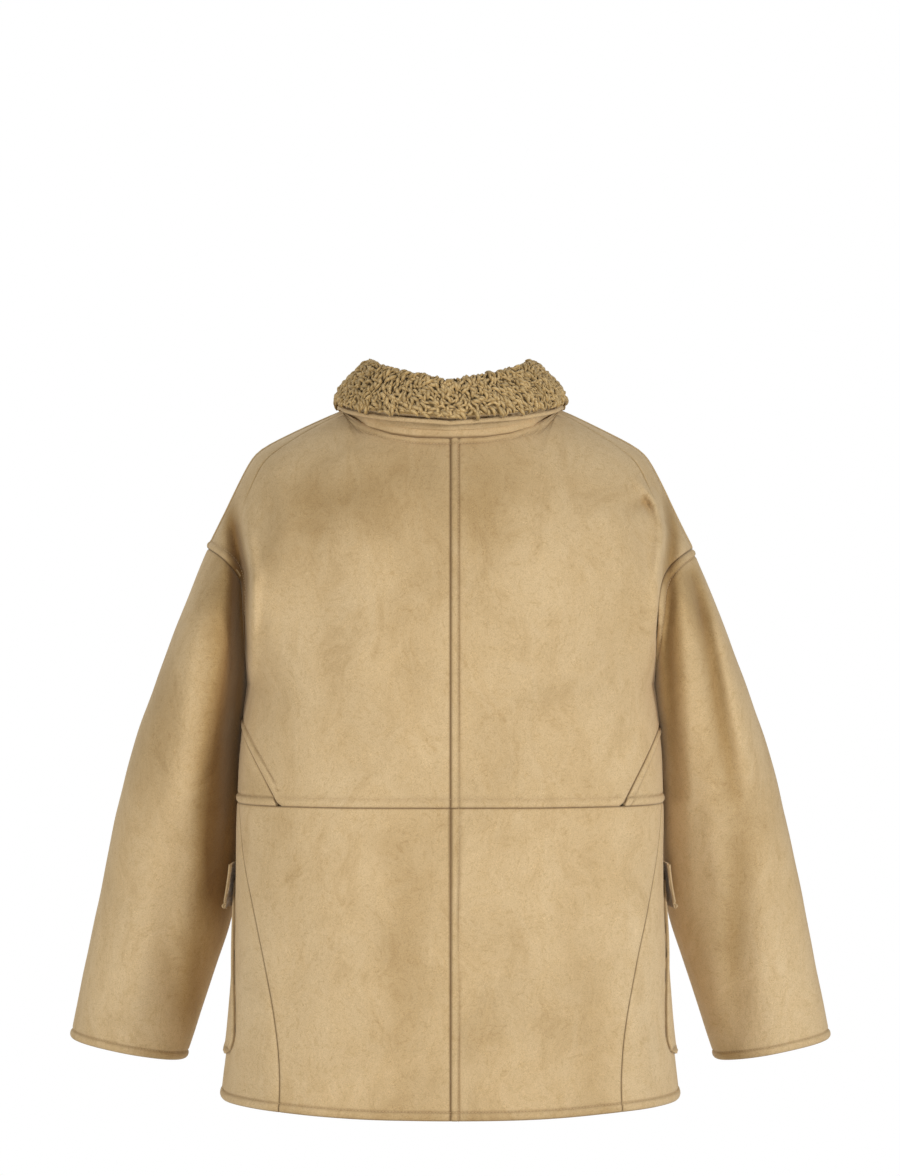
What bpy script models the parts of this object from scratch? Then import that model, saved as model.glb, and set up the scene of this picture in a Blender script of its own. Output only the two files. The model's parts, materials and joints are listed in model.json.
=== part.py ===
"""Faux shearling jacket: a hip-length jacket of bonded suede and fleece, filled out as worn.

Every cloth piece is a wall on one of a few ruled surfaces: the body tube, the shoulder
surfaces that rise from it, the sleeve tubes and the collar. Metres, +Z up, front towards -Y,
wearer's left towards +X. The origin is the centre of the neck at the height of the shoulder tops.
"""
import math

import bmesh
import bpy
from mathutils import Vector

# ---------------------------------------------------------------- driving sizes
WALL = 0.004                 # bonded suede and fleece
SEAM_GAP = 0.0003            # between neighbouring pieces
HEM_Z = -0.7150              # at the sides
HEM_DIP = 0.0078             # how much lower the hem is at the centre
WAIST_Z = -0.408
UNDERARM_Z = -0.285
SHOULDER_RISE = 0.030        # height of the shoulder line carried on to the centre
NECK_HALF = 0.1130           # neck seam to neck seam at the shoulders, half
NECK_SIDE_Z = 0.0011
NECK_BACK_Z = -0.0285
NECK_FRONT_Z = -0.085
ARM_TOP = Vector((0.2545, -0.010, -0.1435))
ARM_BACK_REACH = 0.085
ARM_FRONT_REACH = 0.080
ARM_SIDE_Y = -0.004
SQUARE = 2.6                 # body section: 2 is an ellipse, more is boxier
OVERLAP = 0.022              # fronts overlap each way past the centre
OVERLAP_BLEND = 0.050
BLEND_END = 0.080            # from the centre to where the upper front lies down again
LAYER = WALL + 0.0016        # rise of one cloth layer over another
POCKET_STANDOFF = 0.0023

# body tube: a row for each level
TUBE_COLUMNS = ("z", "half_width", "back", "front", "side_y")
TUBE = (
    (-0.725, 0.2405, 0.142, 0.160, 0.014),
    (-0.680, 0.2350, 0.139, 0.157, 0.014),
    (-0.620, 0.2290, 0.135, 0.153, 0.014),
    (-0.560, 0.2252, 0.132, 0.150, 0.014),
    (-0.500, 0.2235, 0.129, 0.147, 0.014),
    (-0.408, 0.2225, 0.128, 0.146, 0.014),
    (-0.345, 0.2200, 0.135, 0.144, 0.008),
    (-0.285, 0.2130, 0.152, 0.142, -0.004),
)

# sleeve: a row for each section below the armhole, by its outer and inner edge
SLEEVE_COLUMNS = ("outer_x", "outer_z", "inner_x", "inner_z", "y", "half_depth")
SLEEVE = (
    (0.2830, -0.2140, 0.2195, -0.3080, -0.012, 0.090),
    (0.3115, -0.2870, 0.2215, -0.3480, -0.026, 0.090),
    (0.3362, -0.3550, 0.2205, -0.4040, -0.042, 0.086),
    (0.3558, -0.4250, 0.2245, -0.4660, -0.058, 0.079),
    (0.3736, -0.5060, 0.2335, -0.5360, -0.071, 0.071),
    (0.3907, -0.5870, 0.2583, -0.6130, -0.082, 0.064),
    (0.4071, -0.6662, 0.2841, -0.6899, -0.090, 0.058),
)
SLEEVE_SQUARE = 2.2

# seams on the body, as distance from the centre back at a level
DIAGONAL = ((0.1757, WAIST_Z), (0.2225, -0.322))
SKIRT_COLUMNS = ("z", "x")
SKIRT_SEAM = (
    (-0.408, 0.2200), (-0.455, 0.2150), (-0.510, 0.2040), (-0.570, 0.1905),
    (-0.630, 0.1790), (-0.680, 0.1740), (-0.720, 0.1745),
)

# collar: a row for each place round the neck, from the centre back (0) to the front (1)
COLLAR_COLUMNS = ("turn", "fold_r", "fold_z", "edge_r", "edge_z")
COLLAR = (
    (0.00, 0.095, 0.0228, 0.1125, -0.0115),
    (0.20, 0.092, 0.0335, 0.1135, -0.0055),
    (0.36, 0.088, 0.0445, 0.1150, 0.0025),
    (0.50, 0.083, 0.0450, 0.1170, 0.0095),
    (0.64, 0.090, 0.0390, 0.1215, -0.0010),
    (0.80, 0.100, 0.0150, 0.1340, -0.0450),
    (1.00, 0.112, -0.0300, 0.1380, -0.0980),
)
FLEECE_HALF = 0.0050         # half of the collar's fleece thickness
STAND_WALL = 0.0030
STAND_SEAM = 0.0009          # the stand bridges the corners of the neck edge
BINDING_WIDTH = 0.0045
BINDING_WALL = 0.0040

SUEDE = (0.600, 0.470, 0.290, 1.0)
FLEECE = (0.420, 0.310, 0.170, 1.0)
HORN = (0.150, 0.085, 0.045, 1.0)


# ---------------------------------------------------------------- small helpers
def cubic(p0, p1, p2, p3, t):
    """Catmull-Rom value between p1 and p2, for numbers or vectors."""
    return 0.5 * ((2 * p1) + (p2 - p0) * t + (2 * p0 - 5 * p1 + 4 * p2 - p3) * t * t
                  + (3 * p1 - p0 - 3 * p2 + p3) * t ** 3)


def along(rows, place):
    """Smooth value through evenly numbered rows, place 0 to len(rows) - 1."""
    last = len(rows) - 1
    place = min(max(place, 0.0), float(last))
    i = min(int(place), last - 1)
    before = rows[i - 1] if i > 0 else 2 * rows[0] - rows[1]
    after = rows[i + 2] if i + 2 <= last else 2 * rows[last] - rows[last - 1]
    return cubic(before, rows[i], rows[i + 1], after, place - i)


def look_up(table, key, column, value):
    """Smooth value of one column where another column has the given value."""
    keys = [row[key] for row in table]
    rising = keys[-1] > keys[0]
    last = len(keys) - 1
    i = 0
    while i < last - 1 and ((value > keys[i + 1]) if rising else (value < keys[i + 1])):
        i += 1
    place = i + (value - keys[i]) / (keys[i + 1] - keys[i])
    return along([row[column] for row in table], place)


def signed_power(value, power):
    return math.copysign(abs(value) ** power, value)


def smooth_step(value):
    value = min(max(value, 0.0), 1.0)
    return value * value * (3 - 2 * value)


def build(name, verts, faces, material, collection):
    mesh = bpy.data.meshes.new(name)
    mesh.from_pydata([tuple(v) for v in verts], [], faces)
    shape = bmesh.new()
    shape.from_mesh(mesh)
    bmesh.ops.recalc_face_normals(shape, faces=shape.faces)
    shape.to_mesh(mesh)
    shape.free()
    mesh.shade_smooth()
    mesh.set_sharp_from_angle(angle=math.radians(40))
    mesh.materials.append(material)
    piece = bpy.data.objects.new(name, mesh)
    collection.objects.link(piece)
    return piece


def surface_normal(place, i, j, closed=False):
    """Unit normal of a surface, by small steps along its columns and rows."""
    step = 0.002
    low_i, high_i = (i - step, i + step) if closed else (max(i - step, 0), min(i + step, 1))
    low_j, high_j = max(j - step, 0), min(j + step, 1)
    across = place(high_i, j) - place(low_i, j)
    return across.cross(place(i, high_j) - place(i, low_j)).normalized()


def wall(name, place, columns, rows, thickness, material, collection, lift=None, closed=False):
    """A closed wall on a surface.

    place(i, j) gives the point of column i (0 to 1) in row j (0 to 1), and the wall goes
    inwards from it, against the surface's own normal. lift(i, j) moves it out.
    """
    count = columns if closed else columns + 1
    outer, inner = [], []
    for b in range(rows + 1):
        for a in range(count):
            i, j = a / columns, b / rows
            normal = surface_normal(place, i, j, closed)
            point = place(i, j)
            rise = lift(i, j) if lift else 0.0
            outer.append(point + normal * rise)
            inner.append(point + normal * (rise - thickness))
    base = len(outer)
    faces = []
    for b in range(rows):
        for a in range(columns):
            right = (a + 1) % count
            p, q = b * count + a, b * count + right
            r, s = q + count, p + count
            faces.append((p, q, r, s))
            faces.append((base + s, base + r, base + q, base + p))
    for a in range(columns):
        right = (a + 1) % count
        top = rows * count
        faces.append((a, base + a, base + right, right))
        faces.append((top + right, base + top + right, base + top + a, top + a))
    if not closed:
        for b in range(rows):
            p, s = b * count, (b + 1) * count
            faces.append((p, s, base + s, base + p))
            p, s = p + columns, s + columns
            faces.append((s, p, base + p, base + s))
    return build(name, outer + inner, faces, material, collection)


# ---------------------------------------------------------------- the body's surfaces
NECK_FLAT = 0.35             # share of the width over which the shoulders level out
SLOPE = 0.775                # fall of the shoulder line towards the shoulder point
POINT_SHARE = 0.811          # where the shoulder point lies
POINT_SOFT = 0.036           # how gently the line turns there
ARM_SLOPE = 2.38             # further fall over the upper arm


def shoulder_fall(share):
    past = share - POINT_SHARE
    return (SLOPE * (math.hypot(share, NECK_FLAT) - NECK_FLAT)
            + ARM_SLOPE * (math.hypot(past, POINT_SOFT) + past) / 2)


def tube_at(z):
    return [look_up(TUBE, 0, column, z) for column in range(1, len(TUBE_COLUMNS))]


def tube_point(turn, z, side):
    """Body tube: turn 0 is the centre back, 1 the side and 2 the centre front."""
    half_width, back, front, side_y = tube_at(z)
    angle = turn * math.pi / 2
    reach = back if turn < 1 else front
    x = half_width * signed_power(math.sin(angle), 2 / SQUARE)
    y = side_y + reach * signed_power(math.cos(angle), 2 / SQUARE)
    return Vector((side * x, y, z))


def turn_at_x(x, z, front=False):
    """The turn at which the tube is x from its middle plane."""
    half_width = tube_at(z)[0]
    share = min(abs(x) / half_width, 1.0) ** (SQUARE / 2)
    turn = math.copysign(math.asin(share) / (math.pi / 2), x)
    return 2 - turn if front else turn


def armhole(rise, front):
    """Armhole edge of the wearer's left: rise 0 is the underarm, 1 the shoulder end."""
    angle = math.pi * (1 - rise)
    share = (1 + math.cos(angle)) / 2
    reach = -ARM_FRONT_REACH if front else ARM_BACK_REACH
    low_x = tube_at(UNDERARM_Z)[0]
    x = low_x + (ARM_TOP.x - low_x) * share ** 4.3
    y = ARM_SIDE_Y + (ARM_TOP.y - ARM_SIDE_Y) * rise + reach * math.sin(angle)
    z = UNDERARM_Z + (ARM_TOP.z - UNDERARM_Z) * share ** 0.6
    return Vector((x, y, z))


def centre_line(rise, front):
    """Centre back or centre front above the underarm, carried on to the shoulder line."""
    half_width, back, front_reach, side_y = tube_at(UNDERARM_Z)
    angle = rise * math.pi / 2
    depth = -front_reach if front else back
    y = ARM_TOP.y * rise + side_y * (1 - rise) + depth * math.cos(angle)
    share = math.sin(angle) ** (1.0 if front else 0.77)
    return y, UNDERARM_Z + (SHOULDER_RISE - UNDERARM_Z) * share


def yoke_point(share, rise, side, front):
    """Shoulder surface: share 0 is the centre and 1 the armhole edge."""
    edge = armhole(rise, front)
    y0, z0 = centre_line(rise, front)
    x = share * edge.x
    boxy = max(1 - abs(share) ** SQUARE, 0.0) ** (1 / SQUARE)
    round_over = smooth_step((rise - 0.40) / 0.35)
    y = edge.y + (y0 - edge.y) * (boxy + (1 - share * share - boxy) * round_over)
    drop = shoulder_fall(abs(share)) / shoulder_fall(1.0)
    return Vector((side * x, y, z0 + (edge.z - z0) * drop))


def neck_height(x, front):
    low, power = (NECK_FRONT_Z, 2.2) if front else (NECK_BACK_Z, 3.0)
    return low + (NECK_SIDE_Z - low) * min(abs(x) / NECK_HALF, 1.0) ** power


def neck_rise(share, front):
    """How far a column of the shoulder surface rises before the neck seam cuts it."""
    low, high = 0.2, 1.0
    if yoke_point(share, 1.0, 1, front).x >= NECK_HALF:
        return 1.0
    for _ in range(40):
        middle = (low + high) / 2
        point = yoke_point(share, middle, 1, front)
        if point.z < neck_height(point.x, front):
            low = middle
        else:
            high = middle
    return low


# ---------------------------------------------------------------- panels
HALF_GAP = SEAM_GAP / 2
YOKE_FROM = 2 / 14            # share of an upper panel's rows that lies on the body tube
GUSSET_TURN = 0.528          # turn where the slanting seam leaves the waist seam
BACK_COLUMNS = 12
FRONT_COLUMNS = 14
NECK_TURN = 0.2263           # turn where the shoulder seam meets the neck
COLUMN_COLUMNS = ("column", "turn")
BACK_TURNS = ((0.0, 0.0), (4 / 12, NECK_TURN), (6 / 12, GUSSET_TURN), (1.0, 1.0))
FRONT_TURNS = ((0.0, 0.0), (7 / 14, NECK_TURN), (1.0, 1.0))
FRONT_CROWDING = 3.2         # the front's neck columns crowd towards the shoulder


def column_share(i, front):
    """Share of the half width at which an upper panel has its column.

    Columns meet the neck's corner and, on the back, the gusset's corner.
    """
    neck_column = (FRONT_TURNS if front else BACK_TURNS)[1][0]
    if front and i < neck_column:
        start = -OVERLAP / tube_at(UNDERARM_Z)[0]
        crowded = 1 - (1 - i / neck_column) ** FRONT_CROWDING
        return start + (turn_share(NECK_TURN) - start) * crowded
    turns = FRONT_TURNS if front else BACK_TURNS
    for (i0, turn0), (i1, turn1) in zip(turns, turns[1:]):
        if i <= i1:
            return turn_share(turn0 + (turn1 - turn0) * (i - i0) / (i1 - i0))
    return 1.0


def diagonal_z(turn):
    """Height of the back's slanting seam, or the waist seam nearer the centre."""
    (x0, z0), (x1, z1) = DIAGONAL
    if turn <= GUSSET_TURN:
        return z0
    z = z0
    for _ in range(4):
        x = tube_at(z)[0] * math.sin(turn * math.pi / 2) ** (2 / SQUARE)
        z = z0 + (z1 - z0) * min(max((x - x0) / (x1 - x0), 0.0), 1.0)
    return z


def upper_place(side, front):
    """Upper back or front: from the centre to the side and armhole, waist to shoulder."""
    def place(i, j):
        share = column_share(i, front)
        turn = math.copysign(share_turn(abs(share)), share)
        bottom = (WAIST_Z if front else diagonal_z(turn)) + 1.4 * HALF_GAP
        if j < YOKE_FROM:
            z = bottom + (UNDERARM_Z - bottom) * j / YOKE_FROM
            point = tube_point(2 - turn if front else turn, z, side)
        else:
            rise = (j - YOKE_FROM) / (1 - YOKE_FROM) * neck_rise(abs(share), front)
            point = yoke_point(share, rise, side, front)
            if neck_rise(abs(share), front) >= 1.0:
                point.y += (-HALF_GAP if front else HALF_GAP) * smooth_step(rise * 10 - 9)
        if front:
            if j < YOKE_FROM:
                point.y = min(point.y, tube_at(point.z)[3] - HALF_GAP)
        else:
            point.x = side * max(side * point.x, HALF_GAP)
            if j < YOKE_FROM:
                point.y = max(point.y, tube_at(point.z)[3] + HALF_GAP)
        return point
    return place


def turn_share(turn):
    return math.sin(turn * math.pi / 2) ** (2 / SQUARE)


def share_turn(share):
    return math.asin(min(share, 1.0) ** (SQUARE / 2)) / (math.pi / 2)


def front_lift(x, side):
    """Rise of a front at x: the wearer's right front lies over the left one."""
    return LAYER * smooth_step((x + BLEND_END) / OVERLAP_BLEND) if side < 0 else 0.0


def closing_lift(place, side):
    return lambda i, j: front_lift(place(i, j).x, side)


def neck_point(turn, side):
    """Neck edge of the panels: turn 0 is the centre back, 0.5 the shoulder, 1 the front."""
    front = turn > 0.5
    place = upper_place(side, front)
    columns = FRONT_COLUMNS if front else BACK_COLUMNS
    last = round((FRONT_TURNS if front else BACK_TURNS)[1][0] * columns)
    share = turn_share(NECK_TURN) * math.sin(turn * math.pi)
    k = 0
    while k < last - 1 and share > column_share((k + 1) / columns, front):
        k += 1
    knots, ends = [], []
    for n in (k, k + 1):
        i = n / columns
        point = place(i, 1.0)
        rise = front_lift(point.x, side) if front else 0.0
        outward = surface_normal(place, i, 1.0) * (side if front else -side)
        knots.append(column_share(i, front))
        ends.append(point + outward * rise)
    return ends[0].lerp(ends[1], (share - knots[0]) / (knots[1] - knots[0]))


GUSSET_STEP = 1 / 6          # width of the gusset's first column
GUSSET_START = 0.03          # the gusset's blunt corner, as a share of its width


def gusset_place(side):
    def place(i, j):
        across = i if i > GUSSET_STEP else GUSSET_START + i * (1 - GUSSET_START / GUSSET_STEP)
        turn = GUSSET_TURN + (1 - GUSSET_TURN) * across
        top = diagonal_z(turn) - 1.4 * HALF_GAP
        bottom = WAIST_Z + HALF_GAP
        top -= 0.0008 * max(0.0, 1 - i / GUSSET_STEP)
        point = tube_point(turn, bottom + (top - bottom) * j, side)
        point.y = max(point.y, tube_at(point.z)[3] + HALF_GAP)
        return point
    return place


def hem_z(turn):
    return HEM_Z - HEM_DIP * math.cos(turn * math.pi / 2) ** 4


def skirt_seam_turn(z):
    return turn_at_x(look_up(SKIRT_SEAM, 0, 1, z), z)


def skirt_back_place(side):
    def place(i, j):
        z = WAIST_Z - HALF_GAP
        for _ in range(3):
            turn = i * (skirt_seam_turn(z) - 0.0005)
            low = hem_z(turn)
            z = low + (WAIST_Z - HALF_GAP - low) * j
        point = tube_point(turn, z, side)
        point.x = side * max(side * point.x, HALF_GAP)
        return point
    return place


def skirt_front_place(side):
    """Front skirt: from the centre front round the side to the curved back seam."""
    def place(i, j):
        z = WAIST_Z - HALF_GAP
        for _ in range(3):
            start = turn_at_x(-OVERLAP, z, True)
            end = skirt_seam_turn(z) + 0.0015
            turn = start + (end - start) * i
            if i < 0.25:
                quarter = start + (end - start) * 0.25
                turn = start + (quarter - start) * (4 * i) ** 1.6
            low = hem_z(turn)
            z = low + (WAIST_Z - HALF_GAP - low) * j
        return tube_point(turn, z, side)
    return place


# ---------------------------------------------------------------- sleeves
def sleeve_point(round_, down, side):
    """Sleeve tube: round_ 0 is the top, 0.25 the back, 0.5 underneath, 0.75 the front."""
    angle = round_ * 2 * math.pi
    front = math.sin(angle) < 0
    rise = 1 - math.acos(max(-1.0, min(1.0, math.cos(angle)))) / math.pi
    start = armhole(rise, front)
    points = [start]
    for outer_x, outer_z, inner_x, inner_z, y, half_depth in SLEEVE:
        across = signed_power(math.cos(angle), 2 / SLEEVE_SQUARE)
        deep = signed_power(math.sin(angle), 2 / SLEEVE_SQUARE)
        x = (outer_x + inner_x) / 2 + (outer_x - inner_x) / 2 * across
        z = (outer_z + inner_z) / 2 + (outer_z - inner_z) / 2 * across
        points.append(Vector((x, y + half_depth * deep, z)))
    points[0] = start + (points[1] - start).normalized() * 0.0005
    points[0].x += 0.0008 * (1 - rise)
    point = along(points, down * len(SLEEVE))
    return Vector((side * point.x, point.y, point.z))


def sleeve_place(side):
    return lambda i, j: sleeve_point(i, j, side)


# ---------------------------------------------------------------- collar
LEG_INSET = 0.0120           # from the stand's outer face to the middle of the inner fleece
STAND_HEIGHT = 0.60          # share of the way from the neck seam to the fold
COLLAR_END = 0.985           # turn where the collar ends beside the centre front
EDGE_CAP = 0.003             # round end of the fleece past its middle line
SPINE_STEPS = 7
BINDING_SIDES = 6
COLLAR_SECTIONS = 30
UP = Vector((0, 0, 1))


def collar_row(turn):
    """Fold and edge of the collar at a turn, and the outward direction; turn < 0 is right."""
    side = 1 if turn >= 0 else -1
    turn = abs(turn)
    fold_r, fold_z, edge_r, edge_z = [look_up(COLLAR, 0, c, turn) for c in range(1, 5)]
    out = Vector((side * math.sin(turn * math.pi), math.cos(turn * math.pi), 0))
    foot = neck_point(turn, side) + UP * STAND_SEAM
    under_fold = out * (fold_r - 0.006) + UP * (fold_z - 0.012)
    stand_top = foot.lerp(under_fold, STAND_HEIGHT)
    return fold_r, fold_z, edge_r, edge_z, out, foot, stand_top


def collar_spine(turn):
    """The fleece's middle line: outer edge, fall, fold, and down inside the stand."""
    fold_r, fold_z, edge_r, edge_z, out, foot, stand_top = collar_row(turn)
    fall = fold_z - edge_z
    inset = UP.cross(out).cross(stand_top - foot).normalized() * LEG_INSET
    knots = [
        out * edge_r + UP * edge_z,
        out * (fold_r + 0.86 * (edge_r - fold_r)) + UP * (edge_z + 0.33 * fall),
        out * (fold_r + 0.45 * (edge_r - fold_r)) + UP * (fold_z - 0.25 * fall),
        out * fold_r + UP * fold_z,
        stand_top - inset,
        stand_top.lerp(foot, 0.45) - inset,
        stand_top.lerp(foot, 0.80) - inset,
    ]
    last = len(knots) - 1
    return out, [along(knots, last * k / SPINE_STEPS) for k in range(SPINE_STEPS + 1)]


def fleece_ring(turn):
    """Closed outline of the fleece at one turn: out along one face and back on the other."""
    out, spine = collar_spine(turn)
    around = UP.cross(out)
    outer, inner = [], []
    for k, point in enumerate(spine):
        ahead = spine[min(k + 1, SPINE_STEPS)] - spine[max(k - 1, 0)]
        normal = around.cross(ahead).normalized()
        outer.append(point - normal * FLEECE_HALF)
        inner.append(point + normal * FLEECE_HALF)
    tip = spine[0] + (spine[0] - spine[1]).normalized() * EDGE_CAP
    tail = spine[-1] + (spine[-1] - spine[-2]).normalized() * EDGE_CAP
    return [tip] + outer + [tail] + inner[::-1]


def binding_ring(turn):
    fold_r, fold_z, edge_r, edge_z, out, foot, stand_top = collar_row(turn)
    centre = out * edge_r + UP * (edge_z - EDGE_CAP - SEAM_GAP - BINDING_WIDTH / 2)
    ring = []
    for k in range(BINDING_SIDES):
        angle = 2 * math.pi * (k + 0.5) / BINDING_SIDES
        ring.append(centre + out * (BINDING_WALL / 2 * math.cos(angle))
                    + UP * (BINDING_WIDTH / 2 * math.sin(angle)))
    return ring


def swept(name, ring_at, sections, material, collection):
    """A solid through rings round the neck from one front end to the other."""
    rings = [ring_at(COLLAR_END * (2 * k / sections - 1)) for k in range(sections + 1)]
    count = len(rings[0])
    verts = [point for ring in rings for point in ring]
    faces = []
    for k in range(sections):
        for a in range(count):
            b = (a + 1) % count
            faces.append((k * count + a, k * count + b, (k + 1) * count + b, (k + 1) * count + a))
    faces.append(tuple(range(count)))
    faces.append(tuple(sections * count + a for a in range(count)))
    return build(name, verts, faces, material, collection)


def stand_place(i, j):
    foot, stand_top = collar_row(COLLAR_END * (2 * i - 1))[5:]
    return foot.lerp(stand_top, j)


# ---------------------------------------------------------------- pockets and buttons
POCKET_WALL = 0.0022
POCKET_TOP = -0.492
POCKET_BOTTOM = -0.668
POCKET_CORNER = 0.022
POCKET_FRONT_TURN = 1.60
POCKET_COLUMNS = ("z", "back_turn")
POCKET_BACK = ((-0.492, 1.02), (-0.540, 0.95), (-0.590, 0.865), (-0.640, 0.795), (-0.668, 0.790))
FLAP_TOP = -0.474
FLAP_BOTTOM = -0.520
FLAP_BACK_TURN = 0.98
FLAP_LIFT = 0.0095           # how far the flap's back corner stands off
FLAP_REST = 0.0012           # how far the rest of its lower edge does
BUTTON_RADIUS = 0.011
BUTTON_THICKNESS = 0.004
BUTTON_SEAT = 0.0008         # length of thread under a button
BUTTON_LEVELS = (-0.125, -0.245, -0.365, -0.485, -0.605)


def pocket_place(side):
    def place(i, j):
        z = POCKET_BOTTOM + (POCKET_TOP - POCKET_BOTTOM) * j
        back = look_up(POCKET_BACK, 0, 1, z)
        low = max(0.0, 1 - (z - POCKET_BOTTOM) / POCKET_CORNER)
        cut = POCKET_CORNER * (1 - math.sqrt(1 - low * low)) / 0.20
        start, end = back + cut, POCKET_FRONT_TURN - cut
        return tube_point(start + (end - start) * i, z, side)
    return place


def flap_place(side):
    def place(i, j):
        z = FLAP_BOTTOM + (FLAP_TOP - FLAP_BOTTOM) * j
        return tube_point(FLAP_BACK_TURN + (POCKET_FRONT_TURN - FLAP_BACK_TURN) * i, z, side)
    return place


def flap_rise(i, j):
    hang = (1 - j) ** 1.3 * (FLAP_REST + (FLAP_LIFT - FLAP_REST) * (1 - i) ** 6)
    return 2 * POCKET_WALL + POCKET_STANDOFF + hang


def button(name, z, material, collection):
    if z > UNDERARM_Z:
        low, high = 0.0, 1.0
        for _ in range(40):
            middle = (low + high) / 2
            if centre_line(middle, True)[1] < z:
                low = middle
            else:
                high = middle
        here = yoke_point(0.0, low, 1, True)
        above = yoke_point(0.0, low + 0.01, 1, True)
    else:
        here = tube_point(2.0, z, 1)
        above = tube_point(2.0, z + 0.003, 1)
    normal = Vector((1, 0, 0)).cross(above - here).normalized()
    seat = BUTTON_SEAT / 2 if z > UNDERARM_Z else BUTTON_SEAT
    centre = here + normal * (LAYER + seat + BUTTON_THICKNESS / 2)
    bpy.ops.mesh.primitive_cylinder_add(vertices=16, radius=BUTTON_RADIUS, depth=BUTTON_THICKNESS,
                                        location=centre)
    piece = bpy.context.object
    piece.name = name
    piece.rotation_euler = normal.to_track_quat("Z", "Y").to_euler()
    for other in piece.users_collection:
        other.objects.unlink(piece)
    collection.objects.link(piece)
    piece.data.materials.append(material)
    return piece


# ---------------------------------------------------------------- assembly
def make_material(name, colour, roughness):
    material = bpy.data.materials.new(name)
    material.use_nodes = True
    shader = material.node_tree.nodes["Principled BSDF"]
    shader.inputs["Base Color"].default_value = colour
    shader.inputs["Roughness"].default_value = roughness
    shader.inputs["Metallic"].default_value = 0.0
    return material


def clear_scene():
    for item in list(bpy.data.objects):
        bpy.data.objects.remove(item, do_unlink=True)


def oriented(place, outward):
    """The same surface with its columns turned over where they would face inwards."""
    if outward > 0:
        return place
    return lambda i, j: place(1 - i, j)


def main():
    clear_scene()
    collection = bpy.data.collections.new("Shearling_Jacket")
    bpy.context.scene.collection.children.link(collection)
    suede = make_material("Bonded_Suede", SUEDE, 0.9)
    fleece = make_material("Curly_Fleece", FLEECE, 1.0)
    horn = make_material("Dark_Horn", HORN, 0.4)

    for label, side in (("left", 1), ("right", -1)):
        back, front = upper_place(side, False), upper_place(side, True)
        wall("back_upper_" + label, oriented(back, -side), BACK_COLUMNS, 14, WALL, suede, collection)
        over = oriented(front, side)
        wall("front_upper_" + label, over, FRONT_COLUMNS, 14, WALL, suede, collection,
             lift=closing_lift(over, side))
        wall("side_gusset_" + label, oriented(gusset_place(side), -side), 6, 3, WALL, suede,
             collection)
        wall("back_skirt_" + label, oriented(skirt_back_place(side), -side), 8, 7, WALL, suede,
             collection)
        over = oriented(skirt_front_place(side), side)
        wall("front_skirt_" + label, over, 12, 7, WALL, suede, collection,
             lift=closing_lift(over, side))
        wall("sleeve_" + label, oriented(sleeve_place(side), -side), 24, 9, WALL, suede,
             collection, closed=True)
        wall("pocket_" + label, oriented(pocket_place(side), -side), 8, 6, POCKET_WALL, suede,
             collection, lift=lambda i, j: POCKET_WALL + POCKET_STANDOFF)
        wall("pocket_flap_" + label, oriented(flap_place(side), -side), 9, 3, POCKET_WALL,
             suede, collection, lift=oriented(flap_rise, -side))

    wall("collar_stand", oriented(stand_place, -1), COLLAR_SECTIONS, 3, STAND_WALL, suede,
         collection)
    swept("collar_fall", fleece_ring, COLLAR_SECTIONS, fleece, collection)
    swept("collar_binding", binding_ring, COLLAR_SECTIONS, suede, collection)
    for number, z in enumerate(BUTTON_LEVELS, start=1):
        button("button_%d" % number, z, horn, collection)


main()
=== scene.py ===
import functools
import json
import math
import random

import bmesh
import bpy
import numpy as np
from bpy.props import FloatProperty, FloatVectorProperty, PointerProperty
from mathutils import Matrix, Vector

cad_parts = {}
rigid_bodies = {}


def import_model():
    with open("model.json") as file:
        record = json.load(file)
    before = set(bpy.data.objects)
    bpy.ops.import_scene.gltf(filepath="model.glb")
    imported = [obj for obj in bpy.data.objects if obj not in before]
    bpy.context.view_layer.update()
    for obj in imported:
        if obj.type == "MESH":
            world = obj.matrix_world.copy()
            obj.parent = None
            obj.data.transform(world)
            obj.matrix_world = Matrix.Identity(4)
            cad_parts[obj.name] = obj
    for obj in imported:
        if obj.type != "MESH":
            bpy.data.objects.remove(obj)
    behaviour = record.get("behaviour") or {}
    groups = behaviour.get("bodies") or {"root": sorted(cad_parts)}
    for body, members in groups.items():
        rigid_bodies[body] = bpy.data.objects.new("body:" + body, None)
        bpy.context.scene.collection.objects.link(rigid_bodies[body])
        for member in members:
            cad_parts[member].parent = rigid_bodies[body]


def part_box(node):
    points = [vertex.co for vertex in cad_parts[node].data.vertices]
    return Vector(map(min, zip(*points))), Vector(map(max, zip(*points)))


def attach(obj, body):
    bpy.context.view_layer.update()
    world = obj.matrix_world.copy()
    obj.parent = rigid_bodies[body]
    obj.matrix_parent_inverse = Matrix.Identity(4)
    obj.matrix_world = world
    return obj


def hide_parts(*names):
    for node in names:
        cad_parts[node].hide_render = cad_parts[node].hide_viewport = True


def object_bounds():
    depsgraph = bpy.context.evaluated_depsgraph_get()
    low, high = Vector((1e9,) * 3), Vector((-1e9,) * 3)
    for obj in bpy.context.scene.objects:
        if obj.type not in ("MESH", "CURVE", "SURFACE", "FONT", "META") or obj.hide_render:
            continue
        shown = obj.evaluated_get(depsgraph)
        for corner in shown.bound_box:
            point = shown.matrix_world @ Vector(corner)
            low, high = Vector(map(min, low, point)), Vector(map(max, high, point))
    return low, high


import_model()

bl_info = {
    "name": "Shearling Jacket",
    "version": (1, 0, 0),
    "blender": (4, 5, 0),
    "location": "View3D > Sidebar > Jacket",
    "description": "Dresses a hip-length jacket of bonded suede and curly fleece",
    "category": "Object",
}

CAD_LOW, CAD_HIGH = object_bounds()

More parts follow.
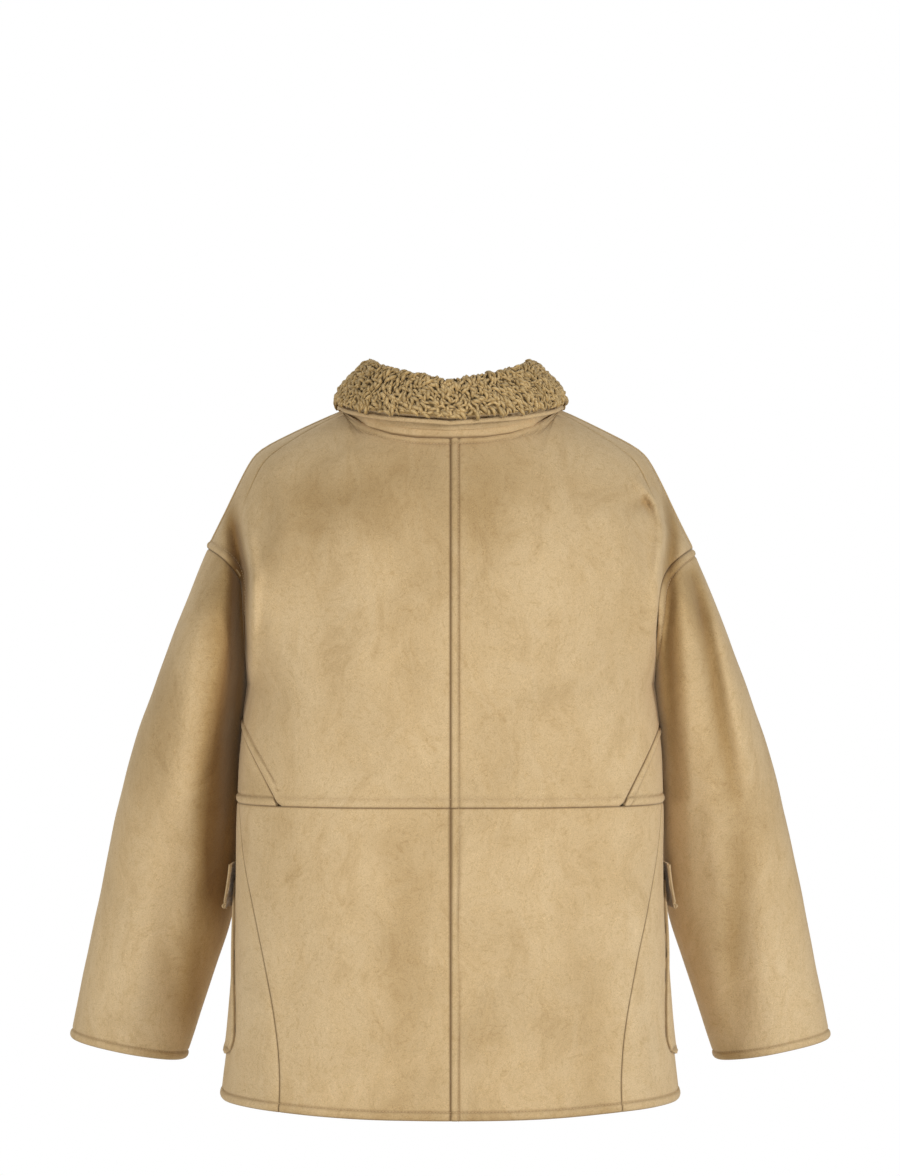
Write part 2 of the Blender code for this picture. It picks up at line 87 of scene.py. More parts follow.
# ---------------------------------------------------------------- sizes of the cut, in metres
WALL = 0.004                 # bonded suede and fleece
HEM_Z = -0.7150              # at the sides
HEM_DIP = 0.0078             # how much lower the hem is at the centre
WAIST_Z = -0.408
UNDERARM_Z = -0.285
SHOULDER_RISE = 0.030        # height of the shoulder line carried on to the centre
NECK_HALF = 0.1130           # neck seam to neck seam at the shoulders, half
NECK_SIDE_Z = 0.0011
NECK_BACK_Z = -0.0285
NECK_FRONT_Z = -0.085
ARM_TOP = Vector((0.2545, -0.010, -0.1435))
ARM_BACK_REACH = 0.085
ARM_FRONT_REACH = 0.080
ARM_SIDE_Y = -0.004
SQUARE = 2.6                 # body section: 2 is an ellipse, more is boxier
OVERLAP = 0.022              # fronts overlap each way past the centre
OVERLAP_BLEND = 0.050
BLEND_END = 0.080            # from the centre to where the upper front lies down again
LAYER = WALL + 0.0016        # rise of one cloth layer over another
POCKET_STANDOFF = 0.0023

# body tube: a row for each level
# columns: z, half width, back, front, side y
TUBE = (
    (-0.725, 0.2405, 0.142, 0.16, 0.014),
    (-0.68, 0.235, 0.139, 0.157, 0.014),
    (-0.62, 0.229, 0.135, 0.153, 0.014),
    (-0.56, 0.2252, 0.132, 0.15, 0.014),
    (-0.5, 0.2235, 0.129, 0.147, 0.014),
    (-0.408, 0.2225, 0.128, 0.146, 0.014),
    (-0.345, 0.22, 0.135, 0.144, 0.008),
    (-0.285, 0.213, 0.152, 0.142, -0.004),
)

# sleeve: a row for each section below the armhole, by its outer and inner edge
# columns: outer x, outer z, inner x, inner z, y, half depth
SLEEVE = (
    (0.283, -0.214, 0.2145, -0.308, -0.012, 0.09),
    (0.3115, -0.287, 0.2185, -0.348, -0.026, 0.09),
    (0.3362, -0.355, 0.2205, -0.404, -0.042, 0.086),
    (0.3558, -0.425, 0.2245, -0.466, -0.058, 0.079),
    (0.3736, -0.506, 0.2335, -0.536, -0.071, 0.071),
    (0.3907, -0.587, 0.2583, -0.613, -0.082, 0.064),
    (0.4071, -0.6662, 0.2841, -0.6899, -0.09, 0.058),
)
SLEEVE_SQUARE = 2.2

# seams on the body, as distance from the centre back at a level
DIAGONAL = ((0.1757, WAIST_Z), (0.2225, -0.322))
# columns: z, x
SKIRT_SEAM = (
    (-0.408, 0.2200), (-0.455, 0.2150), (-0.510, 0.2040), (-0.570, 0.1905),
    (-0.630, 0.1790), (-0.680, 0.1740), (-0.720, 0.1745),
)

# collar: a row for each place round the neck, from the centre back (0) to the front (1)
# columns: turn, fold r, fold z, edge r, edge z
COLLAR = (
    (0.00, 0.095, 0.0228, 0.1125, -0.0115),
    (0.20, 0.092, 0.0335, 0.1135, -0.0055),
    (0.36, 0.088, 0.0445, 0.1150, 0.0025),
    (0.50, 0.083, 0.0450, 0.1170, 0.0095),
    (0.64, 0.090, 0.0390, 0.1215, -0.0010),
    (0.80, 0.100, 0.0150, 0.1340, -0.0450),
    (1.00, 0.112, -0.0300, 0.1380, -0.0980),
)
FLEECE_HALF = 0.0050         # half of the collar's fleece thickness
STAND_WALL = 0.0030
STAND_SEAM = -0.0045         # the stand is tucked into the neck seam
BINDING_WIDTH = 0.0045
BINDING_WALL = 0.0040


# ---------------------------------------------------------------- small helpers
def cubic(p0, p1, p2, p3, t):
    """Catmull-Rom value between p1 and p2, for numbers or vectors."""
    return 0.5 * ((2 * p1) + (p2 - p0) * t + (2 * p0 - 5 * p1 + 4 * p2 - p3) * t * t
                  + (3 * p1 - p0 - 3 * p2 + p3) * t ** 3)


def along(rows, place):
    """Smooth value through evenly numbered rows, place 0 to len(rows) - 1."""
    last = len(rows) - 1
    place = min(max(place, 0.0), float(last))
    i = min(int(place), last - 1)
    before = rows[i - 1] if i > 0 else 2 * rows[0] - rows[1]
    after = rows[i + 2] if i + 2 <= last else 2 * rows[last] - rows[last - 1]
    return cubic(before, rows[i], rows[i + 1], after, place - i)


def look_up(table, key, column, value):
    """Smooth value of one column where another column has the given value."""
    keys = [row[key] for row in table]
    rising = keys[-1] > keys[0]
    last = len(keys) - 1
    i = 0
    while i < last - 1 and ((value > keys[i + 1]) if rising else (value < keys[i + 1])):
        i += 1
    place = i + (value - keys[i]) / (keys[i + 1] - keys[i])
    return along([row[column] for row in table], place)


def signed_power(value, power):
    return math.copysign(abs(value) ** power, value)


def smooth_step(value):
    value = min(max(value, 0.0), 1.0)
    return value * value * (3 - 2 * value)


def halved(below, low, high):
    """The place between low and high where a test stops holding, by halving 40 times."""
    for _ in range(40):
        middle = (low + high) / 2
        low, high = (middle, high) if below(middle) else (low, middle)
    return low


def round_points(count, radius, z=0.0, start=0.0):
    """Points evenly spread on a circle round the Z axis."""
    angles = [start + 2 * math.pi * k / count for k in range(count)]
    return [Vector((radius * math.cos(angle), radius * math.sin(angle), z)) for angle in angles]


def surface_normal(place, i, j):
    """Unit normal of a surface, by small steps along its columns and rows."""
    step = 0.002
    low_i, high_i = max(i - step, 0), min(i + step, 1)
    low_j, high_j = max(j - step, 0), min(j + step, 1)
    across = place(high_i, j) - place(low_i, j)
    return across.cross(place(i, high_j) - place(i, low_j)).normalized()


# ---------------------------------------------------------------- the body's surfaces
NECK_FLAT = 0.35             # share of the width over which the shoulders level out
SLOPE = 0.775                # fall of the shoulder line towards the shoulder point
POINT_SHARE = 0.811          # where the shoulder point lies
POINT_SOFT = 0.036           # how gently the line turns there
ARM_SLOPE = 2.38             # further fall over the upper arm
ARM_CURVE_X, ARM_CURVE_Z = 4.3, 0.6   # how the armhole edge runs from underarm to shoulder
BACK_FULLNESS = 0.77         # below 1 the back stays upright further up
ROUND_FROM, ROUND_OVER = 0.40, 0.35   # where the shoulders turn from boxy to round
NECK_FRONT_CURVE, NECK_BACK_CURVE = 2.2, 3.0
NECK_RISE_LEAST = 0.2        # the neck seam is never lower than this rise


def shoulder_fall(share):
    past = share - POINT_SHARE
    return (SLOPE * (math.hypot(share, NECK_FLAT) - NECK_FLAT)
            + ARM_SLOPE * (math.hypot(past, POINT_SOFT) + past) / 2)


def tube_at(z):
    return [look_up(TUBE, 0, column, z) for column in range(1, len(TUBE[0]))]


def tube_point(turn, z, side):
    """Body tube: turn 0 is the centre back, 1 the side and 2 the centre front."""
    half_width, back, front, side_y = tube_at(z)
    angle = turn * math.pi / 2
    reach = back if turn < 1 else front
    x = half_width * signed_power(math.sin(angle), 2 / SQUARE)
    y = side_y + reach * signed_power(math.cos(angle), 2 / SQUARE)
    return Vector((side * x, y, z))


def turn_at_x(x, z, front=False):
    """The turn at which the tube is x from its middle plane."""
    half_width = tube_at(z)[0]
    share = min(abs(x) / half_width, 1.0) ** (SQUARE / 2)
    turn = math.copysign(math.asin(share) / (math.pi / 2), x)
    return 2 - turn if front else turn


def armhole(rise, front):
    """Armhole edge of the wearer's left: rise 0 is the underarm, 1 the shoulder end."""
    angle = math.pi * (1 - rise)
    share = (1 + math.cos(angle)) / 2
    reach = -ARM_FRONT_REACH if front else ARM_BACK_REACH
    low_x = tube_at(UNDERARM_Z)[0]
    x = low_x + (ARM_TOP.x - low_x) * share ** ARM_CURVE_X
    y = ARM_SIDE_Y + (ARM_TOP.y - ARM_SIDE_Y) * rise + reach * math.sin(angle)
    z = UNDERARM_Z + (ARM_TOP.z - UNDERARM_Z) * share ** ARM_CURVE_Z
    return Vector((x, y, z))


def centre_line(rise, front):
    """Centre back or centre front above the underarm, carried on to the shoulder line."""
    _, back, front_reach, side_y = tube_at(UNDERARM_Z)
    angle = rise * math.pi / 2
    depth = -front_reach if front else back
    y = ARM_TOP.y * rise + side_y * (1 - rise) + depth * math.cos(angle)
    share = math.sin(angle) ** (1.0 if front else BACK_FULLNESS)
    return y, UNDERARM_Z + (SHOULDER_RISE - UNDERARM_Z) * share


def yoke_point(share, rise, side, front):
    """Shoulder surface: share 0 is the centre and 1 the armhole edge."""
    edge = armhole(rise, front)
    y0, z0 = centre_line(rise, front)
    x = share * edge.x
    boxy = max(1 - abs(share) ** SQUARE, 0.0) ** (1 / SQUARE)
    round_over = smooth_step((rise - ROUND_FROM) / ROUND_OVER)
    y = edge.y + (y0 - edge.y) * (boxy + (1 - share * share - boxy) * round_over)
    drop = shoulder_fall(abs(share)) / shoulder_fall(1.0)
    return Vector((side * x, y, z0 + (edge.z - z0) * drop))


def neck_height(x, front):
    low, power = (NECK_FRONT_Z, NECK_FRONT_CURVE) if front else (NECK_BACK_Z, NECK_BACK_CURVE)
    return low + (NECK_SIDE_Z - low) * min(abs(x) / NECK_HALF, 1.0) ** power


@functools.lru_cache(maxsize=None)
def neck_rise(share, front):
    """How far a column of the shoulder surface rises before the neck seam cuts it."""
    def below_seam(rise):
        point = yoke_point(share, rise, 1, front)
        return point.z < neck_height(point.x, front)
    if yoke_point(share, 1.0, 1, front).x >= NECK_HALF:
        return 1.0
    return halved(below_seam, NECK_RISE_LEAST, 1.0)


# ---------------------------------------------------------------- panels
YOKE_FROM = 2 / 14            # share of an upper panel's rows that lies on the body tube
GUSSET_TURN = 0.528          # turn where the slanting seam leaves the waist seam
BACK_COLUMNS = 12
FRONT_COLUMNS = 14
NECK_TURN = 0.2263           # turn where the shoulder seam meets the neck
# panel columns that meet a corner, as shares of the panel's columns, and their turns
BACK_TURNS = ((0.0, 0.0), (4 / 12, NECK_TURN), (6 / 12, GUSSET_TURN), (1.0, 1.0))
FRONT_TURNS = ((0.0, 0.0), (7 / 14, NECK_TURN), (1.0, 1.0))
FRONT_CROWDING = 3.2         # the front's neck columns crowd towards the shoulder


def column_share(i, front):
    """Share of the half width at which an upper panel has its column.

    Columns meet the neck's corner and, on the back, the gusset's corner.
    """
    neck_column = (FRONT_TURNS if front else BACK_TURNS)[1][0]
    if front and i < neck_column:
        start = -OVERLAP / tube_at(UNDERARM_Z)[0]
        crowded = 1 - (1 - i / neck_column) ** FRONT_CROWDING
        return start + (turn_share(NECK_TURN) - start) * crowded
    turns = FRONT_TURNS if front else BACK_TURNS
    for (i0, turn0), (i1, turn1) in zip(turns, turns[1:]):
        if i <= i1:
            return turn_share(turn0 + (turn1 - turn0) * (i - i0) / (i1 - i0))
    return 1.0


def diagonal_z(turn):
    """Height of the back's slanting seam, or the waist seam nearer the centre."""
    (x0, z0), (x1, z1) = DIAGONAL
    if turn <= GUSSET_TURN:
        return z0
    z = z0
    for _ in range(4):
        x = tube_at(z)[0] * math.sin(turn * math.pi / 2) ** (2 / SQUARE)
        z = z0 + (z1 - z0) * min(max((x - x0) / (x1 - x0), 0.0), 1.0)
    return z


def upper_place(side, front):
    """Upper back or front: from the centre to the side and armhole, waist to shoulder."""
    def place(i, j):
        share = column_share(i, front)
        turn = math.copysign(share_turn(abs(share)), share)
        bottom = WAIST_Z if front else diagonal_z(turn)
        if j < YOKE_FROM:
            z = bottom + (UNDERARM_Z - bottom) * j / YOKE_FROM
            point = tube_point(2 - turn if front else turn, z, side)
        else:
            rise = (j - YOKE_FROM) / (1 - YOKE_FROM) * neck_rise(abs(share), front)
            point = yoke_point(share, rise, side, front)
        if front:
            if j < YOKE_FROM:
                point.y = min(point.y, tube_at(point.z)[3])
        else:
            point.x = side * max(side * point.x, 0.0)
            if j < YOKE_FROM:
                point.y = max(point.y, tube_at(point.z)[3])
        return point
    return place


def turn_share(turn):
    return math.sin(turn * math.pi / 2) ** (2 / SQUARE)


def share_turn(share):
    return math.asin(min(share, 1.0) ** (SQUARE / 2)) / (math.pi / 2)


def front_lift(x, side):
    """Rise of a front at x: the wearer's right front lies over the left one."""
    return LAYER * smooth_step((x + BLEND_END) / OVERLAP_BLEND) if side < 0 else 0.0


@functools.lru_cache(maxsize=None)
def neck_point(turn, side):
    """Neck edge of the panels: turn 0 is the centre back, 0.5 the shoulder, 1 the front."""
    front = turn > 0.5
    place = upper_place(side, front)
    columns = FRONT_COLUMNS if front else BACK_COLUMNS
    last = round((FRONT_TURNS if front else BACK_TURNS)[1][0] * columns)
    share = turn_share(NECK_TURN) * math.sin(turn * math.pi)
    k = 0
    while k < last - 1 and share > column_share((k + 1) / columns, front):
        k += 1
    knots, ends = [], []
    for n in (k, k + 1):
        i = n / columns
        point = place(i, 1.0)
        rise = front_lift(point.x, side) if front else 0.0
        outward = surface_normal(place, i, 1.0) * (side if front else -side)
        knots.append(column_share(i, front))
        ends.append(point + outward * rise)
    return ends[0].lerp(ends[1], (share - knots[0]) / (knots[1] - knots[0]))


GUSSET_STEP = 1 / 6          # width of the gusset's first column
GUSSET_START = 0.03          # the gusset's blunt corner, as a share of its width
GUSSET_TUCK = 0.0008         # how far that corner is tucked below the slanting seam


def gusset_place(side):
    def place(i, j):
        across = i if i > GUSSET_STEP else GUSSET_START + i * (1 - GUSSET_START / GUSSET_STEP)
        turn = GUSSET_TURN + (1 - GUSSET_TURN) * across
        top = diagonal_z(turn) - GUSSET_TUCK * max(0.0, 1 - i / GUSSET_STEP)
        point = tube_point(turn, WAIST_Z + (top - WAIST_Z) * j, side)
        point.y = max(point.y, tube_at(point.z)[3])
        return point
    return place


SKIRT_SEAM_INSETS = (0.0005, 0.0015)   # what back and front skirts leave at the curved seam
SKIRT_CROWDED, SKIRT_CROWDING = 0.25, 1.6   # the front skirt's columns crowd at the closing


def hem_z(turn):
    return HEM_Z - HEM_DIP * math.cos(turn * math.pi / 2) ** 4


def skirt_seam_turn(z):
    return turn_at_x(look_up(SKIRT_SEAM, 0, 1, z), z)


def skirt_back_place(side):
    def place(i, j):
        z = WAIST_Z
        for _ in range(3):
            turn = i * (skirt_seam_turn(z) - SKIRT_SEAM_INSETS[0])
            low = hem_z(turn)
            z = low + (WAIST_Z - low) * j
        point = tube_point(turn, z, side)
        point.x = side * max(side * point.x, 0.0)
        return point
    return place


def skirt_front_place(side):
    """Front skirt: from the centre front round the side to the curved back seam."""
    def place(i, j):
        z = WAIST_Z
        for _ in range(3):
            start = turn_at_x(-OVERLAP, z, True)
            end = skirt_seam_turn(z) + SKIRT_SEAM_INSETS[1]
            turn = start + (end - start) * i
            if i < SKIRT_CROWDED:
                crowded = (end - start) * SKIRT_CROWDED
                turn = start + crowded * (i / SKIRT_CROWDED) ** SKIRT_CROWDING
            low = hem_z(turn)
            z = low + (WAIST_Z - low) * j
        return tube_point(turn, z, side)
    return place


# ---------------------------------------------------------------- sleeves
def sleeve_point(round_, down, side):
    """Sleeve tube: round_ 0 is the top, 0.25 the back, 0.5 underneath, 0.75 the front."""
    angle = round_ * 2 * math.pi
    front = math.sin(angle) < 0
    rise = 1 - math.acos(max(-1.0, min(1.0, math.cos(angle)))) / math.pi
    start = armhole(rise, front)
    points = [start]
    for outer_x, outer_z, inner_x, inner_z, y, half_depth in SLEEVE:
        across = signed_power(math.cos(angle), 2 / SLEEVE_SQUARE)
        deep = signed_power(math.sin(angle), 2 / SLEEVE_SQUARE)
        x = (outer_x + inner_x) / 2 + (outer_x - inner_x) / 2 * across
        z = (outer_z + inner_z) / 2 + (outer_z - inner_z) / 2 * across
        points.append(Vector((x, y + half_depth * deep, z)))
    point = along(points, down * len(SLEEVE))
    return Vector((side * point.x, point.y, point.z))


def sleeve_place(side):
    return lambda i, j: sleeve_point(i, j, side)


# ---------------------------------------------------------------- the collar's surfaces
LEG_INSET = 0.0120           # from the stand's outer face to the middle of the inner fleece
STAND_BOW = 0.008            # how far the stand swells out between its seams
STAND_HEIGHT = 0.60          # share of the way from the neck seam to the fold
COLLAR_END = 0.985           # turn where the collar ends beside the centre front
EDGE_CAP = 0.003             # round end of the fleece past its middle line
SPINE_STEPS = 21
UNDER_FOLD = (0.006, 0.012)  # how far inside and below the fold the stand would end
FALL_KNOTS = ((0.86, 0.33), (0.45, 0.75))   # share of the way out, share of the way up
STAND_KNOTS = (0.45, 0.80)   # shares of the way down the stand
UP = Vector((0, 0, 1))


def collar_row(turn):
    """Fold and edge of the collar at a turn, and the outward direction; turn < 0 is right."""
    side = 1 if turn >= 0 else -1
    turn = abs(turn)
    fold_r, fold_z, edge_r, edge_z = [look_up(COLLAR, 0, c, turn) for c in range(1, 5)]
    out = Vector((side * math.sin(turn * math.pi), math.cos(turn * math.pi), 0))
    foot = neck_point(turn, side) + UP * STAND_SEAM
    under_fold = out * (fold_r - UNDER_FOLD[0]) + UP * (fold_z - UNDER_FOLD[1])
    stand_top = foot.lerp(under_fold, STAND_HEIGHT)
    return fold_r, fold_z, edge_r, edge_z, out, foot, stand_top


def collar_spine(turn):
    """The fleece's middle line: outer edge, fall, fold, and down inside the stand."""
    fold_r, fold_z, edge_r, edge_z, out, foot, stand_top = collar_row(turn)
    fall = fold_z - edge_z
    inset = UP.cross(out).cross(stand_top - foot).normalized() * LEG_INSET
    knots = [out * edge_r + UP * edge_z]
    knots += [out * (fold_r + away * (edge_r - fold_r)) + UP * (edge_z + up * fall)
              for away, up in FALL_KNOTS]
    knots += [out * fold_r + UP * fold_z, stand_top - inset]
    knots += [stand_top.lerp(foot, down) - inset for down in STAND_KNOTS]
    last = len(knots) - 1
    return out, [along(knots, last * k / SPINE_STEPS) for k in range(SPINE_STEPS + 1)]


def stand_place(i, j):
    out, foot, stand_top = collar_row(COLLAR_END * (2 * i - 1))[4:]
    return foot.lerp(stand_top, j) + out * (STAND_BOW * math.sin(math.pi * min(j, 1.0) ** 0.7))


# ---------------------------------------------------------------- pockets and the closing
POCKET_WALL = 0.0022
POCKET_TOP = -0.492
POCKET_BOTTOM = -0.668
POCKET_CORNER = 0.022        # radius of a pocket's lower corners
POCKET_TURN_WIDTH = 0.20     # width of the body's side, for a turn of 1
POCKET_FRONT_TURN = 1.60
# columns: z, back turn
POCKET_BACK = ((-0.492, 1.02), (-0.540, 0.95), (-0.590, 0.865), (-0.640, 0.795), (-0.668, 0.790))
FLAP_TOP = -0.474
FLAP_BOTTOM = -0.520
FLAP_BACK_TURN = 0.98
FLAP_LIFT = 0.0068           # how far the flap's back corner stands off
FLAP_REST = 0.0012           # how far the rest of its lower edge does
BUTTON_RADIUS = 0.011
BUTTON_LEVELS = (-0.125, -0.245, -0.365, -0.485, -0.605)


def pocket_place(side):
    def place(i, j):
        z = POCKET_BOTTOM + (POCKET_TOP - POCKET_BOTTOM) * j
        back = look_up(POCKET_BACK, 0, 1, z)
        low = max(0.0, 1 - (z - POCKET_BOTTOM) / POCKET_CORNER)
        cut = POCKET_CORNER * (1 - math.sqrt(1 - low * low)) / POCKET_TURN_WIDTH
        start, end = back + cut, POCKET_FRONT_TURN - cut
        return tube_point(start + (end - start) * i, z, side)
    return place


def flap_place(side):
    def place(i, j):
        z = FLAP_BOTTOM + (FLAP_TOP - FLAP_BOTTOM) * j
        return tube_point(FLAP_BACK_TURN + (POCKET_FRONT_TURN - FLAP_BACK_TURN) * i, z, side)
    return place


def flap_rise(i, j):
    hang = (1 - j) ** 1.3 * (FLAP_REST + (FLAP_LIFT - FLAP_REST) * (1 - i) ** 6)
    return 2 * POCKET_WALL + POCKET_STANDOFF + hang


# ---------------------------------------------------------------- soft folds of the worn cloth
# x and z of one end, x and z of the other, half width, and rise (below 0 a trough)
BACK_FOLDS = (
    (0.203, -0.11, 0.188, -0.23, 0.012, 0.0025),
    (0.205, -0.2, 0.19, -0.3, 0.015, -0.002),
    (-0.195, -0.16, -0.17, -0.25, 0.018, -0.0016),
    (0.09, -0.12, 0.07, -0.33, 0.034, 0.0022),
    (-0.1, -0.1, -0.115, -0.3, 0.036, 0.002),
    (0.145, -0.08, 0.13, -0.26, 0.026, -0.0018),
    (-0.04, -0.2, -0.05, -0.38, 0.03, -0.0014),
    (0.035, -0.06, 0.12, -0.09, 0.018, -0.0012),
    (-0.045, -0.065, -0.13, -0.085, 0.018, -0.001),
    (0.11, -0.43, 0.125, -0.64, 0.036, 0.0022),
    (-0.09, -0.44, -0.085, -0.66, 0.033, 0.002),
    (0.05, -0.46, 0.045, -0.69, 0.026, -0.0016),
    (-0.145, -0.45, -0.15, -0.69, 0.026, -0.0018),
    (0.19, -0.56, 0.195, -0.71, 0.02, 0.0018),
    (-0.195, -0.52, -0.2, -0.7, 0.018, 0.0016),
)
FRONT_FOLDS = (
    (0.205, -0.19, 0.17, -0.28, 0.013, -0.004),
    (-0.2, -0.18, -0.175, -0.27, 0.014, -0.0038),
    (0.185, -0.24, 0.115, -0.33, 0.02, -0.002),
    (-0.175, -0.25, -0.1, -0.32, 0.022, -0.0018),
    (0.1, -0.14, 0.09, -0.34, 0.033, 0.0022),
    (-0.115, -0.15, -0.1, -0.36, 0.034, 0.002),
    (0.08, -0.43, 0.09, -0.65, 0.034, 0.002),
    (-0.095, -0.44, -0.085, -0.68, 0.034, 0.0018),
    (0.15, -0.54, 0.16, -0.7, 0.024, -0.0014),
    (-0.14, -0.56, -0.15, -0.7, 0.024, -0.0014),
)
SLEEVE_BACK_FOLDS = (
    (-0.27, -0.17, -0.315, -0.39, 0.02, 0.0026),
    (-0.24, -0.3, -0.248, -0.47, 0.011, 0.002),
    (-0.33, -0.4, -0.355, -0.56, 0.018, -0.0018),
    (-0.307, -0.48, -0.298, -0.66, 0.015, -0.003),
    (-0.335, -0.5, -0.338, -0.68, 0.018, 0.0018),
    (-0.275, -0.42, -0.285, -0.52, 0.016, 0.0016),
    (0.265, -0.2, 0.28, -0.36, 0.018, 0.0024),
    (0.245, -0.33, 0.255, -0.48, 0.013, -0.0026),
    (0.305, -0.3, 0.335, -0.47, 0.022, -0.0016),
    (0.292, -0.56, 0.282, -0.67, 0.015, -0.0034),
    (0.325, -0.52, 0.342, -0.68, 0.019, 0.0022),
    (0.268, -0.48, 0.29, -0.56, 0.016, 0.0018),
)
SLEEVE_FRONT_FOLDS = (
    (-0.255, -0.2, -0.29, -0.38, 0.015, -0.0034),
    (-0.245, -0.3, -0.29, -0.33, 0.012, -0.0034),
    (-0.25, -0.38, -0.315, -0.42, 0.013, -0.004),
    (-0.275, -0.44, -0.335, -0.46, 0.012, -0.003),
    (-0.31, -0.5, -0.335, -0.66, 0.02, 0.0022),
    (0.255, -0.19, 0.285, -0.36, 0.015, -0.0032),
    (0.248, -0.31, 0.295, -0.345, 0.012, -0.0036),
    (0.252, -0.39, 0.32, -0.41, 0.014, -0.0038),
    (0.27, -0.45, 0.33, -0.48, 0.012, -0.0028),
    (0.32, -0.52, 0.34, -0.66, 0.02, 0.002),
)

# bent creases beside the armholes: half width, then x, z and rise along each
CREASES = (
    (0.0095, ((0.231, -0.094, -0.004), (0.2245, -0.125, -0.015), (0.2165, -0.168, -0.02),
              (0.218, -0.24, -0.016), (0.224, -0.3, -0.014), (0.234, -0.42, -0.01),
              (0.246, -0.52, -0.001))),
    (0.006, ((0.216, -0.1, 0.001), (0.208, -0.135, 0.006), (0.201, -0.175, 0.008),
              (0.203, -0.24, 0.005), (0.208, -0.29, 0.001))),
    (0.0085, ((-0.229, -0.096, -0.006), (-0.231, -0.125, -0.01), (-0.225, -0.171, -0.009),
              (-0.226, -0.24, -0.008), (-0.23, -0.303, -0.007), (-0.236, -0.4, -0.004))),
    (0.006, ((-0.196, -0.076, 0.002), (-0.213, -0.094, 0.006), (-0.218, -0.127, 0.007),
              (-0.212, -0.171, 0.005), (-0.213, -0.22, 0.002))),
    (0.0045, ((-0.186, -0.103, -0.002), (-0.201, -0.095, -0.006), (-0.207, -0.106, -0.002))),
    (0.01, ((-0.252, -0.172, -0.006), (-0.26, -0.205, -0.01), (-0.278, -0.3, -0.008),
              (-0.296, -0.4, -0.003))),
    (0.014, ((-0.272, -0.18, 0.003), (-0.295, -0.28, 0.004), (-0.315, -0.38, 0.002))),
)
SLEEVE_LEAN = ((-0.690, -0.26), (-0.090, -0.008))   # height of a sleeve's middle, and its y
HALVES_BLEND = 0.045         # depth over which back and front folds give way to each other
FOLD_SWAY, FOLD_SWAYS = 0.12, 5.0     # how far a fold winds, in half widths, and how often
FOLD_FADE = 0.30             # fade past a fold's ends, as a share of its length
FOLD_ENDS = 0.75             # rise at a fold's ends, as a share of its middle's
FRONT_CREASE = 0.7           # depth of the front's creases, as a share of the back's


def bend_of(points, sleeve):
    """How far the soft folds bring each point out of its own half, back or front, along y."""
    middle = np.interp(points[..., 2], *SLEEVE_LEAN) if sleeve else SLEEVE_LEAN[1][1]
    back = np.clip((points[..., 1] - middle) / HALVES_BLEND + 0.5, 0.0, 1.0)
    back = back * back * (3 - 2 * back)
    total = np.zeros(points.shape[:-1])
    for folds, weight in ((BACK_FOLDS + SLEEVE_BACK_FOLDS, back),
                          (FRONT_FOLDS + SLEEVE_FRONT_FOLDS, back - 1)):
        here = np.zeros(points.shape[:-1])
        for x0, z0, x1, z1, half_width, rise in folds:
            dx, dz = x1 - x0, z1 - z0
            length = math.hypot(dx, dz)
            px, pz = points[..., 0] - x0, points[..., 2] - z0
            run = (px * dx + pz * dz) / length
            across = (px * dz - pz * dx) / length
            across = across + FOLD_SWAY * half_width * np.sin(run / length * FOLD_SWAYS)
            past = np.maximum(0.0, np.maximum(-run, run - length))
            end = np.exp(-(past / (FOLD_FADE * length)) ** 2)
            swell = np.sin(np.clip(run / length, 0, 1) * math.pi)
            middle = FOLD_ENDS + (1 - FOLD_ENDS) * swell
            here += rise * middle * end * np.exp(-(across / half_width) ** 2)
        total += here * weight
    for half_width, knots in CREASES:
        for flip, weight in ((1, back), (-1, FRONT_CREASE * (back - 1))):
            total += crease(points[..., 0] * flip, points[..., 2], half_width, knots) * weight
    return total


def crease(x, z, half_width, knots):
    """Rise at each place from one bent crease, by the nearest of its stretches."""
    nearest = np.full(x.shape, 1e9)
    rise = np.zeros(x.shape)
    for (x0, z0, rise0), (x1, z1, rise1) in zip(knots, knots[1:]):
        dx, dz = x1 - x0, z1 - z0
        run = np.clip(((x - x0) * dx + (z - z0) * dz) / (dx * dx + dz * dz), 0, 1)
        away = np.hypot(x - x0 - run * dx, z - z0 - run * dz)
        closer = away < nearest
        nearest = np.where(closer, away, nearest)
        rise = np.where(closer, rise0 + (rise1 - rise0) * run, rise)
    return rise * np.exp(-(nearest / half_width) ** 2)


WAVES = 7                    # slanting waves in one uneven value


def wander(points, size, seed):
    """Smooth uneven value between about -1 and 1, from a few slanting waves."""
    random_ = random.Random(seed)
    value = np.zeros(points.shape[:-1])
    for _ in range(WAVES):
        direction = np.array([random_.uniform(-1, 1) for _ in range(3)])
        direction /= np.linalg.norm(direction)
        scale = 2 * math.pi / (size * random_.uniform(0.7, 1.6))
        value += np.sin(points @ direction * scale + random_.uniform(0, 6.28))
    return value / 3.0


